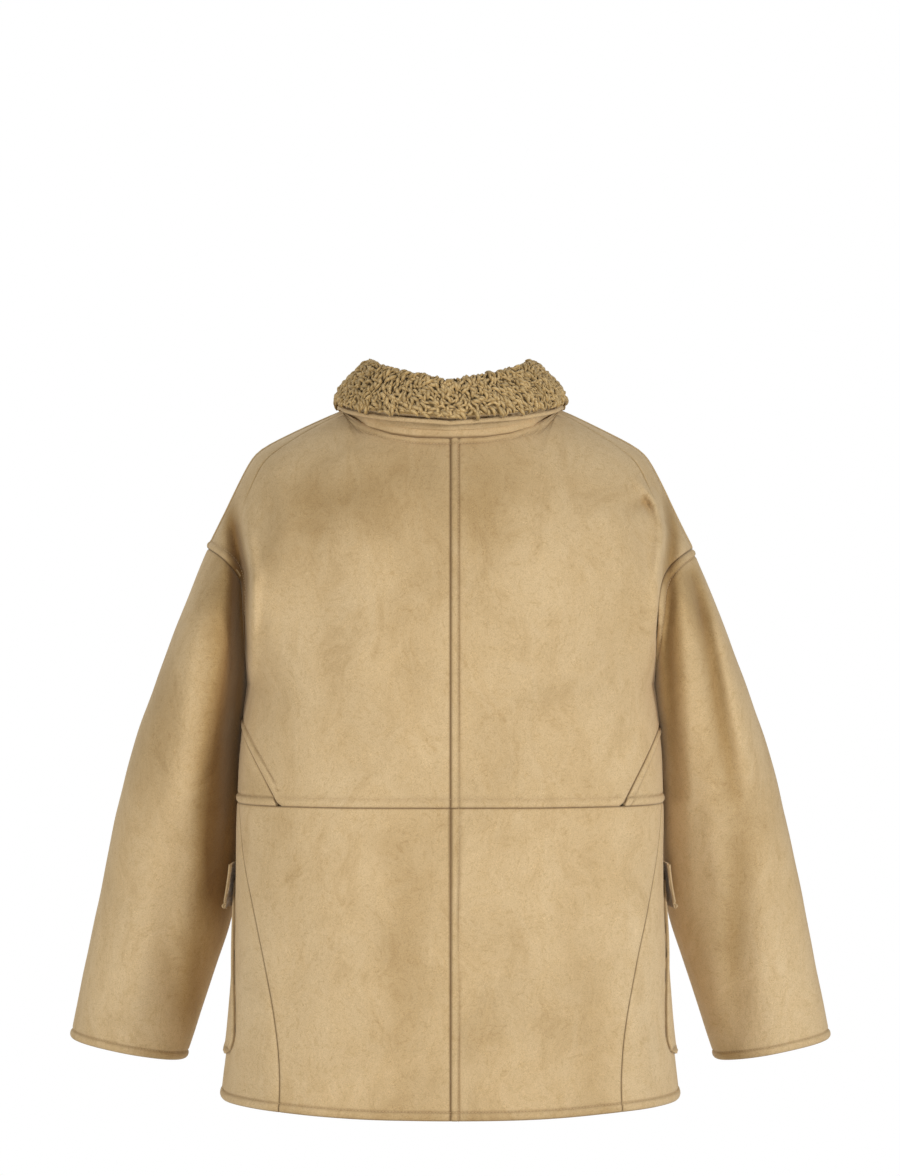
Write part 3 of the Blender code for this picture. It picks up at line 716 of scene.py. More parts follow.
# ---------------------------------------------------------------- brushed patches of the nap, and patches of painted light and shade
# x and z of the middle, half width, half height, tone (below 0 browner, above 0 paler)
BODY_NAP_AND_LIGHT = (
    (0.15, -0.095, 0.08, 0.045, -0.18),
    # painted light on the shoulders
    (0.165, -0.045, 0.045, 0.026, 0.24),
    (-0.165, -0.045, 0.045, 0.026, 0.34),
    # painted light on the lower sides
    (0.205, -0.6, 0.032, 0.14, 0.44),
    (-0.205, -0.6, 0.032, 0.14, 0.52),
    (0.07, -0.1, 0.07, 0.06, -0.26),
    (0.05, -0.26, 0.035, 0.11, -0.2),
    (0.145, -0.25, 0.045, 0.11, 0.22),
    (0.195, -0.17, 0.02, 0.06, -0.25),
    (0.09, -0.39, 0.09, 0.03, 0.14),
    (0.203, -0.395, 0.022, 0.022, -0.3),
    (-0.045, -0.1, 0.045, 0.06, -0.34),
    (-0.14, -0.065, 0.06, 0.028, -0.22),
    (-0.13, -0.105, 0.04, 0.02, 0.12),
    (-0.07, -0.22, 0.03, 0.11, 0.22),
    (-0.12, -0.28, 0.018, 0.1, -0.14),
    (-0.165, -0.3, 0.035, 0.1, 0.16),
    (0.035, -0.52, 0.03, 0.11, -0.12),
    (0.115, -0.6, 0.05, 0.09, 0.12),
    (0.175, -0.47, 0.03, 0.06, -0.12),
    (-0.035, -0.63, 0.03, 0.06, -0.08),
    (-0.1, -0.5, 0.06, 0.07, 0.1),
    (-0.17, -0.6, 0.03, 0.09, 0.1),
)
SLEEVE_NAP_AND_LIGHT = (
    (0.262, -0.195, 0.03, 0.05, -0.1),
    (0.29, -0.32, 0.03, 0.07, -0.2),
    (0.315, -0.52, 0.04, 0.09, 0.14),
    # painted shadow of the body on the left sleeve beside it
    (0.228, -0.33, 0.022, 0.16, -0.95),
    (0.248, -0.47, 0.018, 0.11, -0.9),
    (0.272, -0.6, 0.014, 0.08, -0.6),
    (0.33, -0.68, 0.05, 0.015, -0.25),
    (-0.262, -0.19, 0.03, 0.05, -0.3),
    # painted light on the lower sleeves
    (0.355, -0.63, 0.048, 0.08, 0.52),
    (-0.355, -0.63, 0.048, 0.08, 0.46),
    (-0.29, -0.3, 0.022, 0.08, -0.25),
    # painted shade on the right sleeve beside the body
    (-0.23, -0.26, 0.016, 0.11, -0.25),
    (-0.305, -0.42, 0.035, 0.05, -0.18),
    (-0.34, -0.58, 0.03, 0.08, 0.18),
    (-0.298, -0.53, 0.012, 0.08, -0.26),
    (-0.33, -0.685, 0.05, 0.015, -0.25),
)


NAP_WAVES = (0.080, 21, 0.03)         # size, seed and tone of its slow unevenness
FACING_FROM, FACING_OVER = 0.25, 0.6  # how a patch fades as the cloth turns away
FRONT_NAP = 0.6              # strength of the front's patches, as a share of the back's


def nap_and_light_tone(points, normals, patches):
    """How brown or pale the nap is brushed, with patches of painted light and painted shade among
    them; the front has the back's patches turned round.
    """
    size, seed, strength = NAP_WAVES
    total = wander(points, size, seed) * strength
    for facing in (1, -1):
        weight = np.clip((facing * normals[..., 1] + FACING_FROM) / FACING_OVER, 0.0, 1.0)
        for x, z, half_width, half_height, tone in patches:
            away = (((points[..., 0] - facing * x) / half_width) ** 2
                    + ((points[..., 2] - z) / half_height) ** 2)
            total += tone * np.exp(-away) * weight * (1.0 if facing > 0 else FRONT_NAP)
    return total


# ---------------------------------------------------------------- cloth shells
# distance from a seam of each grid line beside it
SEAM_LINES = (0.0, 0.0006, 0.0014, 0.0024, 0.0036, 0.0050, 0.0064, 0.0076, 0.0086, 0.0096,
              0.0110, 0.0130, 0.0160)


def grid_lines(length, spacing):
    """Places from 0 to 1 along a side, close together beside its seams."""
    low = [distance / length for distance in SEAM_LINES]
    high = [1 - distance / length for distance in reversed(SEAM_LINES)]
    inner = max(2, round((high[0] - low[-1]) * length / spacing))
    middle = [low[-1] + (high[0] - low[-1]) * k / inner for k in range(1, inner)]
    return np.array(low + middle + high)


class Sheet:
    """A grid on one of the jacket's surfaces, with the distance of each point from its edges."""

    def __init__(self, place, columns, rows, outward=1, closed=False):
        self.closed, self.rows = closed, rows
        if outward < 0:
            columns = 1 - columns[::-1]
            turned = lambda u, v: place(1 - u, v)
        else:
            turned = place
        self.columns = columns
        self.points = np.array([[tuple(turned(u, v)) for u in columns] for v in rows])
        across = self.find_normals()
        step_u = np.linalg.norm(np.diff(self.points, axis=1), axis=2)
        step_v = np.linalg.norm(np.diff(self.points, axis=0), axis=2)
        first = np.concatenate([np.zeros((len(rows), 1)), np.cumsum(step_u, axis=1)], axis=1)
        second = first[:, -1:] - first
        self.start, self.end = (first, second) if outward > 0 else (second, first)
        rising = np.concatenate([np.zeros((1, len(columns))), np.cumsum(step_v, axis=0)], axis=0)
        self.bottom = rising * self.slant(0, across)
        self.top = (rising[-1:] - rising) * self.slant(-1, across)

    def find_normals(self):
        points, columns = self.points, self.columns
        if self.closed:
            points = np.concatenate([points[:, -2:-1], points, points[:, 1:2]], axis=1)
            columns = np.concatenate([[columns[-2] - 1], columns, [1 + columns[1]]])
        across = np.gradient(points, columns, axis=1)
        if self.closed:
            across = across[:, 1:-1]
        faces = np.cross(points[1:, 1:] - points[:-1, :-1], points[1:, :-1] - points[:-1, 1:])
        faces = np.pad(faces, ((1, 1), (0, 0) if self.closed else (1, 1), (0, 0)), mode="edge")
        normal = faces[1:, 1:] + faces[1:, :-1] + faces[:-1, 1:] + faces[:-1, :-1]
        self.normals = normal / np.maximum(np.linalg.norm(normal, axis=2, keepdims=True), 1e-12)
        return across

    def bend(self, distance):
        """Moves every point along y, as a soft fold does."""
        self.points[..., 1] += distance
        self.find_normals()

    def slant(self, row, across):
        """Sine of the angle between each column and the edge at its end."""
        first, second = (0, 1) if row == 0 else (-2, -1)
        upwards = self.points[second] - self.points[first]
        size = np.linalg.norm(upwards, axis=1) * np.linalg.norm(across[row], axis=1)
        turn = np.linalg.norm(np.cross(upwards, across[row]), axis=1)
        return np.maximum(turn / np.maximum(size, 1e-12), 0.3)[None, :]

    def edge(self, name):
        return getattr(self, name)


SEAM_SHADE_REACH = 0.0008     # how far the painted shade of a seam reaches
ROLL = 0.0011                # how far a seam's edges roll in
ROLL_REACH = 0.0015
BAND_RISE = 0.0014           # puff between a seam and its row of stitches
STITCH_DIP = 0.0012
STITCH_DIP_REACH = 0.0011
STITCH_SHADE = 0.46           # how dark the painted shade in the dip along the stitches is, next to a seam


def seam_relief(sheet, edges):
    """Rise beside the seams, and how much painted shade each point gets in a seam and along its
    stitches.
    """
    rise = np.zeros(sheet.points.shape[:2])
    groove = np.zeros(sheet.points.shape[:2])
    for name, stitch, roll, *reach in edges:
        distance = sheet.edge(name)
        rise -= roll * np.exp(-(distance / ROLL_REACH) ** 1.3)
        # painted shade right in the seam
        seam_shade_here = np.exp(-(distance / SEAM_SHADE_REACH) ** 2) * min(1.0, roll / ROLL)
        groove = np.maximum(groove, seam_shade_here)
        if stitch:
            inside = np.clip(distance / stitch, 0, 1)
            band = np.where(distance < stitch, np.sin(inside * math.pi) ** 0.7, 0.0)
            dip = np.exp(-((distance - stitch) / STITCH_DIP_REACH) ** 2)
            if reach:
                here = np.abs(sheet.points[..., 0]) < reach[0]
                band, dip = band * here, dip * here
            rise += BAND_RISE * band - STITCH_DIP * dip
            groove = np.maximum(groove, STITCH_SHADE * dip)
    return rise, groove


SHELL_SHARP, SOLID_SHARP, BUTTON_SHARP = (math.radians(angle) for angle in (62, 60, 38))


def shell(name, sheet, rise, groove, thickness, materials, under=None, nap=None):
    """A closed shell on a sheet: its cloth face raised by rise, its lining a thickness below."""
    rows, columns = sheet.points.shape[:2]
    outer = sheet.points + sheet.normals * rise[..., None]
    lining = under if under is not None else np.zeros((rows, columns))
    inner = sheet.points + sheet.normals * (lining - thickness)[..., None]
    count = columns - 1 if sheet.closed else columns
    outer, inner = outer[:, :count], inner[:, :count]
    base = rows * count
    verts = np.concatenate([outer.reshape(-1, 3), inner.reshape(-1, 3)])
    a, b = np.meshgrid(np.arange(columns - 1), np.arange(rows - 1))
    p = (b * count + a).ravel()
    q = (b * count + (a + 1) % count).ravel()
    outside = np.stack([p, q, q + count, p + count], axis=1)
    inside = np.stack([p + count, q + count, q, p], axis=1) + base
    faces = [outside, inside]
    a = np.arange(columns - 1)
    b = (a + 1) % count
    top = (rows - 1) * count
    faces.append(np.stack([a, base + a, base + b, b], axis=1))
    faces.append(np.stack([top + b, base + top + b, base + top + a, top + a], axis=1))
    if not sheet.closed:
        r = np.arange(rows - 1) * count
        faces.append(np.stack([r, r + count, base + r + count, base + r], axis=1))
        r = r + columns - 1
        faces.append(np.stack([r + count, r, base + r, base + r + count], axis=1))
    cloth_faces = len(outside)
    faces = np.concatenate(faces)
    mesh = bpy.data.meshes.new(name)
    mesh.from_pydata(verts.tolist(), [], faces.tolist())
    mesh.shade_smooth()
    for material in materials:
        mesh.materials.append(material)
    slots = np.zeros(len(faces), dtype=np.int32)
    if len(materials) > 1:
        slots[cloth_faces:2 * cloth_faces] = 1
    mesh.polygons.foreach_set("material_index", slots)
    if nap is None:
        nap = np.zeros((rows, columns))
    for label, values in (("groove", groove[:, :count]), ("nap", nap[:, :count])):
        store(mesh, label, np.concatenate([values.reshape(-1), np.zeros(base)]))
    mesh.set_sharp_from_angle(angle=SHELL_SHARP)
    return new_piece(name, mesh)


def jacket_collection():
    """The collection that holds every piece of the jacket."""
    found = bpy.data.collections.get("Jacket")
    if found is None:
        found = bpy.data.collections.new("Jacket")
        bpy.context.scene.collection.children.link(found)
    return found


def new_piece(name, mesh):
    """A new object at the origin with this mesh, in the jacket's collection."""
    piece = bpy.data.objects.new(name, mesh)
    jacket_collection().objects.link(piece)
    return piece


def store(mesh, label, values):
    """Stores one number for each vertex of a mesh under a label."""
    attribute = mesh.attributes.new(label, "FLOAT", "POINT")
    attribute.data.foreach_set("value", np.asarray(values, dtype=np.float32))


# ---------------------------------------------------------------- materials
def put(tree, kind, values=(), links=(), **settings):
    """Adds a node to a tree with its settings, its input values and its incoming links."""
    node = tree.nodes.new(kind)
    for key, value in settings.items():
        setattr(node, key, value)
    for key, value in dict(values).items():
        node.inputs[key].default_value = value
    for key, output in dict(links).items():
        tree.links.new(output, node.inputs[key])
    return node


class Nodes:
    """Short calls for building one material's node tree."""

    def __init__(self, name):
        self.material = bpy.data.materials.new(name)
        self.material.use_nodes = True
        self.tree = self.material.node_tree
        self.shader = self.tree.nodes["Principled BSDF"]

    def add(self, kind, values=(), links=(), **settings):
        return put(self.tree, kind, values, links, **settings)

    def where(self):
        return self.add("ShaderNodeTexCoord").outputs["Object"]

    def stored(self, label):
        return self.add("ShaderNodeAttribute", attribute_name=label).outputs["Fac"]

    def set(self, **values):
        for key, value in values.items():
            self.shader.inputs[key.replace("_", " ")].default_value = value

    def link(self, output, socket):
        self.tree.links.new(output, self.shader.inputs[socket])

    def feed(self, socket, value):
        """Gives a socket a link, a number or a colour."""
        if hasattr(value, "links"):
            self.tree.links.new(value, socket)
        else:
            number = isinstance(value, (int, float))
            socket.default_value = value if number else tuple(value) + (1.0,)

    def bump(self, strength, distance, height):
        node = self.add("ShaderNodeBump", {"Strength": strength, "Distance": distance},
                        {"Height": height})
        self.link(node.outputs["Normal"], "Normal")

    def noise(self, where, scale, detail, roughness=0.55, distortion=0.0):
        return self.add("ShaderNodeTexNoise",
                        {"Scale": scale, "Detail": detail, "Roughness": roughness,
                         "Distortion": distortion}, {"Vector": where})

    def ramp(self, value, stops):
        node = self.add("ShaderNodeValToRGB", links={"Fac": value})
        while len(node.color_ramp.elements) < len(stops):
            node.color_ramp.elements.new(0.5)
        for element, (place, colour) in zip(node.color_ramp.elements, stops):
            element.position = place
            element.color = tuple(colour) + (1.0,)
        return node.outputs["Color"]

    def mix(self, amount, first, second, blend="MIX"):
        node = self.add("ShaderNodeMix", data_type="RGBA", blend_type=blend)
        for socket, value in ((0, amount), (6, first), (7, second)):
            self.feed(node.inputs[socket], value)
        return node.outputs[2]

    def tinted(self, tone, amount, value, stops):
        """A tone multiplied by a ramp of another value."""
        return self.mix(amount, tone, self.ramp(value, stops), "MULTIPLY")

    def value(self, operation, first, second, clamp=False):
        node = self.add("ShaderNodeMath", operation=operation, use_clamp=clamp)
        self.feed(node.inputs[0], first)
        self.feed(node.inputs[1], second)
        return node.outputs[0]


WHITE = (1.0, 1.0, 1.0)      # leaves a tone as it is


def shade(colour, factor):
    return tuple(min(1.0, c * factor) for c in colour)


def suede_material(colours):
    """Napped cloth: brushed patches, soft dabs, short flecks and specks, with painted shade in its
    seams and the stored painted light and shade.
    """
    n = Nodes("Napped_Suede")
    base = tuple(colours.suede)
    where = n.where()
    warp = n.noise(where, 7.0, 2.0)
    warped = n.mix(0.05, where, warp.outputs["Color"], "LINEAR_LIGHT")
    broad = n.noise(warped, 8.5, 4.0, 0.62, 0.6).outputs["Fac"]
    tone = n.ramp(broad, ((0.30, shade(base, 0.93)), (0.46, shade(base, 0.98)),
                          (0.60, base), (0.76, shade(base, 1.06))))
    # the stored tone holds the brushed nap together with painted light and painted shade
    nap = n.stored("nap")
    ragged = n.value("ADD", n.value("MULTIPLY", broad, 0.20), 0.40)
    spread = n.value("ADD", n.value("MULTIPLY", nap, 0.5), ragged)
    tone = n.tinted(tone, 1.0, spread, ((0.0, (0.41, 0.31, 0.19)), (0.25, (0.70, 0.63, 0.50)),
                                        (0.5, WHITE), (0.75, (1.09, 1.12, 1.18))))
    brushed = n.add("ShaderNodeMapping", {"Scale": (1.0, 1.0, 0.45)}, {"Vector": warped})
    patches = n.noise(brushed.outputs["Vector"], 38.0, 6.0, 0.68, 0.8).outputs["Fac"]
    tone = n.tinted(tone, 0.62, patches, ((0.30, (0.80, 0.74, 0.64)), (0.46, (0.97, 0.95, 0.91)),
                                          (0.56, WHITE), (0.72, (1.08, 1.10, 1.14))))
    dabs = n.noise(warped, 105.0, 3.0, 0.6, 2.4).outputs["Fac"]
    tone = n.tinted(tone, 0.6, dabs, ((0.36, (0.86, 0.82, 0.75)), (0.44, WHITE), (0.60, WHITE),
                                      (0.68, (1.09, 1.10, 1.12))))
    fleck_place = n.noise(where, 330.0, 1.0, 0.5, 2.0).outputs["Fac"]
    fleck_mask = n.noise(where, 75.0, 2.0, 0.6).outputs["Fac"]
    fleck = n.mix(n.value("MULTIPLY", n.value("SUBTRACT", fleck_mask, 0.50), 6.0, True), WHITE,
                  n.ramp(fleck_place, ((0.40, WHITE), (0.445, (0.72, 0.67, 0.58)), (0.49, WHITE),
                                       (0.53, (1.24, 1.24, 1.22)), (0.57, WHITE))))
    tone = n.mix(0.7, tone, fleck, "MULTIPLY")
    specks = n.noise(where, 900.0, 3.0, 0.7).outputs["Fac"]
    tone = n.tinted(tone, 0.75, specks, ((0.32, (0.76, 0.73, 0.68)), (0.50, WHITE),
                                         (0.70, (1.12, 1.12, 1.10))))
    # painted shade in the seams, along the stitches and where the stand goes into the neck seam,
    # in the seam colour
    groove = n.stored("groove")
    tone = n.mix(n.value("MULTIPLY", groove, 0.86, True), tone, tuple(colours.seam))
    n.link(tone, "Base Color")
    grain = n.value("ADD", n.value("MULTIPLY", specks, 0.5), n.value("MULTIPLY", patches, 1.4))
    grain = n.value("ADD", grain, n.value("MULTIPLY", fleck_place, 0.4))
    n.bump(0.45, 0.0011, grain)
    n.set(Roughness=0.92, Sheen_Weight=0.42, Sheen_Roughness=0.5,
          Sheen_Tint=(1.0, 0.86, 0.64, 1.0), Specular_IOR_Level=0.12, Metallic=0.0)
    return n.material


def lining_material(colours):
    """The fleece side of the bonded cloth: close curls, with painted shade in the gaps between
    them and painted highlight on their tops.
    """
    n = Nodes("Fleece_Lining")
    where = n.where()
    warp = n.noise(where, 90.0, 3.0)
    warped = n.mix(0.012, where, warp.outputs["Color"], "LINEAR_LIGHT")
    curls = n.add("ShaderNodeTexVoronoi", {"Scale": 170.0, "Randomness": 1.0},
                  {"Vector": warped}, feature="SMOOTH_F1").outputs["Distance"]
    base = tuple(colours.fleece)
    # painted highlight on the curls' middles and painted shade in the gaps between them
    tone = n.ramp(curls, ((0.05, shade(base, 1.25)), (0.45, base), (0.80, shade(base, 0.45))))
    broad = n.noise(where, 12.0, 3.0).outputs["Fac"]
    tone = n.tinted(tone, 0.5, broad, ((0.35, (0.82, 0.80, 0.78)), (0.65, (1.08, 1.07, 1.05))))
    n.link(tone, "Base Color")
    height = n.value("SUBTRACT", 1.0, curls)
    n.bump(0.9, 0.003, height)
    n.set(Roughness=1.0, Sheen_Weight=0.4, Sheen_Roughness=0.5, Specular_IOR_Level=0.1,
          Metallic=0.0)
    return n.material


def curl_material(colours):
    """Locks of the collar's pile: painted shade at the root, painted highlight at the crest, each
    its own tone.
    """
    n = Nodes("Curly_Pile")
    where = n.where()
    crest = n.stored("crest")
    own = n.stored("tone")
    base = tuple(colours.fleece)
    tone = n.ramp(crest, ((0.0, shade(base, 0.46)), (0.40, shade(base, 0.88)),
                          (0.72, shade(base, 1.12)), (1.0, tuple(colours.crest))))
    tone = n.tinted(tone, 0.65, own, ((0.0, (0.72, 0.70, 0.66)), (1.0, (1.22, 1.20, 1.16))))
    fibres = n.noise(where, 1500.0, 2.0, 0.6).outputs["Fac"]
    tone = n.tinted(tone, 0.6, fibres, ((0.35, (0.76, 0.74, 0.70)), (0.65, (1.16, 1.15, 1.12))))
    n.link(tone, "Base Color")
    n.bump(0.6, 0.0006, fibres)
    n.set(Roughness=0.95, Sheen_Weight=0.45, Sheen_Roughness=0.45,
          Sheen_Tint=(1.0, 0.90, 0.70, 1.0), Specular_IOR_Level=0.12, Metallic=0.0)
    return n.material


def thread_material(colours):
    n = Nodes("Topstitch_Thread")
    where = n.where()
    twist = n.noise(where, 2600.0, 1.0).outputs["Fac"]
    base = tuple(colours.thread)
    n.link(n.ramp(twist, ((0.3, shade(base, 0.8)), (0.7, shade(base, 1.15)))), "Base Color")
    n.set(Roughness=0.75, Specular_IOR_Level=0.25, Metallic=0.0)
    return n.material


def horn_material(colours):
    n = Nodes("Dark_Horn")
    where = n.where()
    stretched = n.add("ShaderNodeMapping", {"Scale": (1.0, 1.0, 0.3)}, {"Vector": where})
    flow = n.noise(stretched.outputs["Vector"], 130.0, 4.0, 0.6, 1.5).outputs["Fac"]
    base = tuple(colours.horn)
    n.link(n.ramp(flow, ((0.30, shade(base, 0.45)), (0.55, base), (0.78, shade(base, 2.2)))),
           "Base Color")
    n.set(Roughness=0.32, Coat_Weight=0.25, Coat_Roughness=0.2, Metallic=0.0)
    return n.material


def plain_material(name, colour, roughness):
    n = Nodes(name)
    n.set(Roughness=roughness, Base_Color=tuple(colour) + (1.0,))
    return n.material


MAKERS = {
    "Napped_Suede": suede_material,
    "Fleece_Lining": lining_material,
    "Curly_Pile": curl_material,
    "Topstitch_Thread": thread_material,
    "Dark_Horn": horn_material,
}


@functools.lru_cache(maxsize=None)
def material(name):
    """One of the jacket's materials, made the first time that it is asked for."""
    return MAKERS[name](bpy.context.scene.jacket_colours)


# ---------------------------------------------------------------- what repeats: stitches and locks
def tree_of(name, inputs):
    """A new geometry node tree with named inputs, and the identifier of each."""
    tree = bpy.data.node_groups.new(name, "GeometryNodeTree")
    tree.interface.new_socket("Geometry", in_out="INPUT", socket_type="NodeSocketGeometry")
    tree.interface.new_socket("Geometry", in_out="OUTPUT", socket_type="NodeSocketGeometry")
    names = {}
    for label, kind in inputs:
        names[label] = tree.interface.new_socket(
            label, in_out="INPUT", socket_type=kind).identifier
    return tree, names


def finished(tree, laid, colour, end):
    """Realizes what a tree has laid, smooths it and gives it its material."""
    real = put(tree, "GeometryNodeRealizeInstances", links={"Geometry": laid.outputs[0]})
    smooth = put(tree, "GeometryNodeSetShadeSmooth", links={"Geometry": real.outputs[0]})
    done = put(tree, "GeometryNodeSetMaterial",
               links={"Geometry": smooth.outputs[0], "Material": colour})
    tree.links.new(done.outputs[0], end.inputs[0])


def grown(carrier, tree, names, values, name):
    """Runs a node tree on a carrier object and keeps the result as a plain piece."""
    modifier = carrier.modifiers.new("Grow", "NODES")
    modifier.node_group = tree
    for label, value in values.items():
        modifier[names[label]] = value
    bpy.context.view_layer.update()
    evaluated = carrier.evaluated_get(bpy.context.evaluated_depsgraph_get())
    mesh = bpy.data.meshes.new_from_object(evaluated)
    mesh.name = name
    carrier.modifiers.remove(modifier)
    piece = new_piece(name, mesh)
    bpy.data.objects.remove(carrier, do_unlink=True)
    return piece


def stitch_tree():
    """Thread laid stitch by stitch along lines."""
    tree, names = tree_of("Topstitch", (
        ("Pitch", "NodeSocketFloat"), ("Stitch Size", "NodeSocketVector"),
        ("Thread", "NodeSocketMaterial")))
    start, end = tree.nodes.new("NodeGroupInput"), tree.nodes.new("NodeGroupOutput")
    line = put(tree, "GeometryNodeMeshToCurve", links={"Mesh": start.outputs["Geometry"]})
    spaced = put(tree, "GeometryNodeResampleCurve", mode="LENGTH",
                 links={"Curve": line.outputs[0], "Length": start.outputs["Pitch"]})
    tangent = put(tree, "GeometryNodeInputTangent")
    turned = put(tree, "FunctionNodeAlignRotationToVector", axis="X",
                 links={"Vector": tangent.outputs[0]})
    bead = put(tree, "GeometryNodeMeshUVSphere", {"Segments": 6, "Rings": 4, "Radius": 0.5})
    laid = put(tree, "GeometryNodeInstanceOnPoints",
               links={"Points": spaced.outputs[0], "Instance": bead.outputs["Mesh"],
                      "Rotation": turned.outputs[0], "Scale": start.outputs["Stitch Size"]})
    finished(tree, laid, start.outputs["Thread"], end)
    return tree, names


def curl_tree():
    """Curly locks strewn over a surface, each turned, sized and toned by chance."""
    tree, names = tree_of("Curly_Locks", (
        ("Spacing", "NodeSocketFloat"), ("Density", "NodeSocketFloat"),
        ("Smallest", "NodeSocketFloat"), ("Largest", "NodeSocketFloat"),
        ("Locks", "NodeSocketCollection"), ("Pile", "NodeSocketMaterial")))
    start, end = tree.nodes.new("NodeGroupInput"), tree.nodes.new("NodeGroupOutput")
    strewn = put(tree, "GeometryNodeDistributePointsOnFaces", {"Seed": 11},
                 {"Mesh": start.outputs["Geometry"], "Distance Min": start.outputs["Spacing"],
                  "Density Max": start.outputs["Density"]}, distribute_method="POISSON")
    kinds = put(tree, "GeometryNodeCollectionInfo",
                {"Separate Children": True, "Reset Children": True},
                {"Collection": start.outputs["Locks"]})
    angle = put(tree, "FunctionNodeRandomValue", {2: -0.9, 3: 0.9, "Seed": 3},
                data_type="FLOAT")
    spin = put(tree, "FunctionNodeAxisAngleToRotation", {"Axis": (0.0, 0.0, 1.0)},
               {"Angle": angle.outputs[1]})
    place = tree.nodes.new("GeometryNodeInputPosition")
    flow = put(tree, "ShaderNodeTexNoise", {"Scale": 17.0, "Detail": 1.0},
               {"Vector": place.outputs[0]})
    centred = put(tree, "ShaderNodeVectorMath", {1: (0.53, 0.5, 0.56)},
                  {0: flow.outputs["Color"]}, operation="SUBTRACT")
    combed = put(tree, "FunctionNodeAlignRotationToVector", {"Factor": 1.0}, axis="X",
                 pivot_axis="Z", links={"Rotation": strewn.outputs["Rotation"],
                                        "Vector": centred.outputs[0]})
    turned = put(tree, "FunctionNodeRotateRotation", rotation_space="LOCAL",
                 links={"Rotation": combed.outputs[0], "Rotate By": spin.outputs[0]})
    size = put(tree, "FunctionNodeRandomValue", {"Seed": 5},
               {2: start.outputs["Smallest"], 3: start.outputs["Largest"]}, data_type="FLOAT")
    which = put(tree, "FunctionNodeRandomValue", {4: 0, 5: LOCK_KINDS - 1, "Seed": 8},
                data_type="INT")
    laid = put(tree, "GeometryNodeInstanceOnPoints", {"Pick Instance": True},
               {"Points": strewn.outputs["Points"], "Instance": kinds.outputs[0],
                "Instance Index": which.outputs[2], "Rotation": turned.outputs[0],
                "Scale": size.outputs[1]})
    tone = put(tree, "FunctionNodeRandomValue", {"Seed": 13}, data_type="FLOAT")
    toned = put(tree, "GeometryNodeStoreNamedAttribute", {"Name": "tone"},
                {"Geometry": laid.outputs[0], "Value": tone.outputs[1]},
                data_type="FLOAT", domain="INSTANCE")
    finished(tree, toned, start.outputs["Pile"], end)
    return tree, names


LOCK_KINDS = 6
LOCK_SIDES = 5
LOCK_RINGS = 6
LOCK_LENGTH = (0.0070, 0.0100)        # least and most of each
LOCK_BEND = (0.5, 1.7)
LOCK_RISE = (0.0014, 0.0026)
LOCK_RADIUS = (0.00150, 0.00205)


def lock_mesh(index):
    """One curled lock, seven to ten millimetres long, lying along X with its crest up."""
    chance = random.Random(100 + index)
    length = chance.uniform(*LOCK_LENGTH)
    bend = chance.uniform(*LOCK_BEND) * chance.choice((-1, 1))
    rise = chance.uniform(*LOCK_RISE)
    thick = chance.uniform(*LOCK_RADIUS)
    spine = []
    x = y = 0.0
    heading = -bend / 2
    for k in range(LOCK_RINGS):
        t = k / (LOCK_RINGS - 1)
        spine.append(Vector((x, y, rise * math.sin(math.pi * (0.08 + 0.84 * t)))))
        heading += bend / (LOCK_RINGS - 1) * (1 + 0.5 * math.sin(t * 6 + index))
        x += math.cos(heading) * length / (LOCK_RINGS - 1)
        y += math.sin(heading) * length / (LOCK_RINGS - 1)
    middle = sum(spine, Vector()) / LOCK_RINGS
    middle.z = 0
    verts, crest = [], []
    for k, point in enumerate(spine):
        t = k / (LOCK_RINGS - 1)
        ahead = (spine[min(k + 1, LOCK_RINGS - 1)] - spine[max(k - 1, 0)]).normalized()
        across = ahead.cross(UP).normalized()
        above = across.cross(ahead)
        radius = thick * (0.45 + 0.55 * math.sin(math.pi * (0.10 + 0.80 * t)))
        for s in range(LOCK_SIDES):
            angle = 2 * math.pi * (s + 0.25) / LOCK_SIDES
            spot = point - middle + (across * math.cos(angle) + above * math.sin(angle)) * radius
            verts.append(spot)
            crest.append(spot.z)
    faces = []
    for k in range(LOCK_RINGS - 1):
        for s in range(LOCK_SIDES):
            a, b = k * LOCK_SIDES + s, k * LOCK_SIDES + (s + 1) % LOCK_SIDES
            faces.append((b, a, a + LOCK_SIDES, b + LOCK_SIDES))
    faces.append(tuple(range(LOCK_SIDES)))
    faces.append(tuple(reversed(range(len(verts) - LOCK_SIDES, len(verts)))))
    mesh = bpy.data.meshes.new("Lock_%d" % index)
    mesh.from_pydata([tuple(v) for v in verts], [], faces)
    low, high = min(crest), max(crest)
    # the height within the lock sets its painted shade at the root and painted highlight on top
    store(mesh, "crest", [(z - low) / (high - low) for z in crest])
    return mesh


# ---------------------------------------------------------------- lines of topstitch
THREAD_PROUD = 0.0001        # how far the thread's middle lies over the cloth


def stitch_line(sheet, rise, name, distance, keep=None):
    """Points on the raised cloth at a distance from one of a sheet's edges."""
    surface = sheet.points + sheet.normals * (rise + THREAD_PROUD)[..., None]
    away = sheet.edge(name)
    points = []
    if name in ("bottom", "top"):
        away, surface = away.T, surface.swapaxes(0, 1)
    for values, spots in zip(away, surface):
        if values[0] > values[-1]:
            values, spots = values[::-1], spots[::-1]
        m = int(np.searchsorted(values, distance))
        if 0 < m < len(values):
            share = (distance - values[m - 1]) / (values[m] - values[m - 1])
            points.append(spots[m - 1] + (spots[m] - spots[m - 1]) * share)
        else:
            points.append(None)
    return [p if p is not None and (keep is None or keep(p)) else None for p in points]


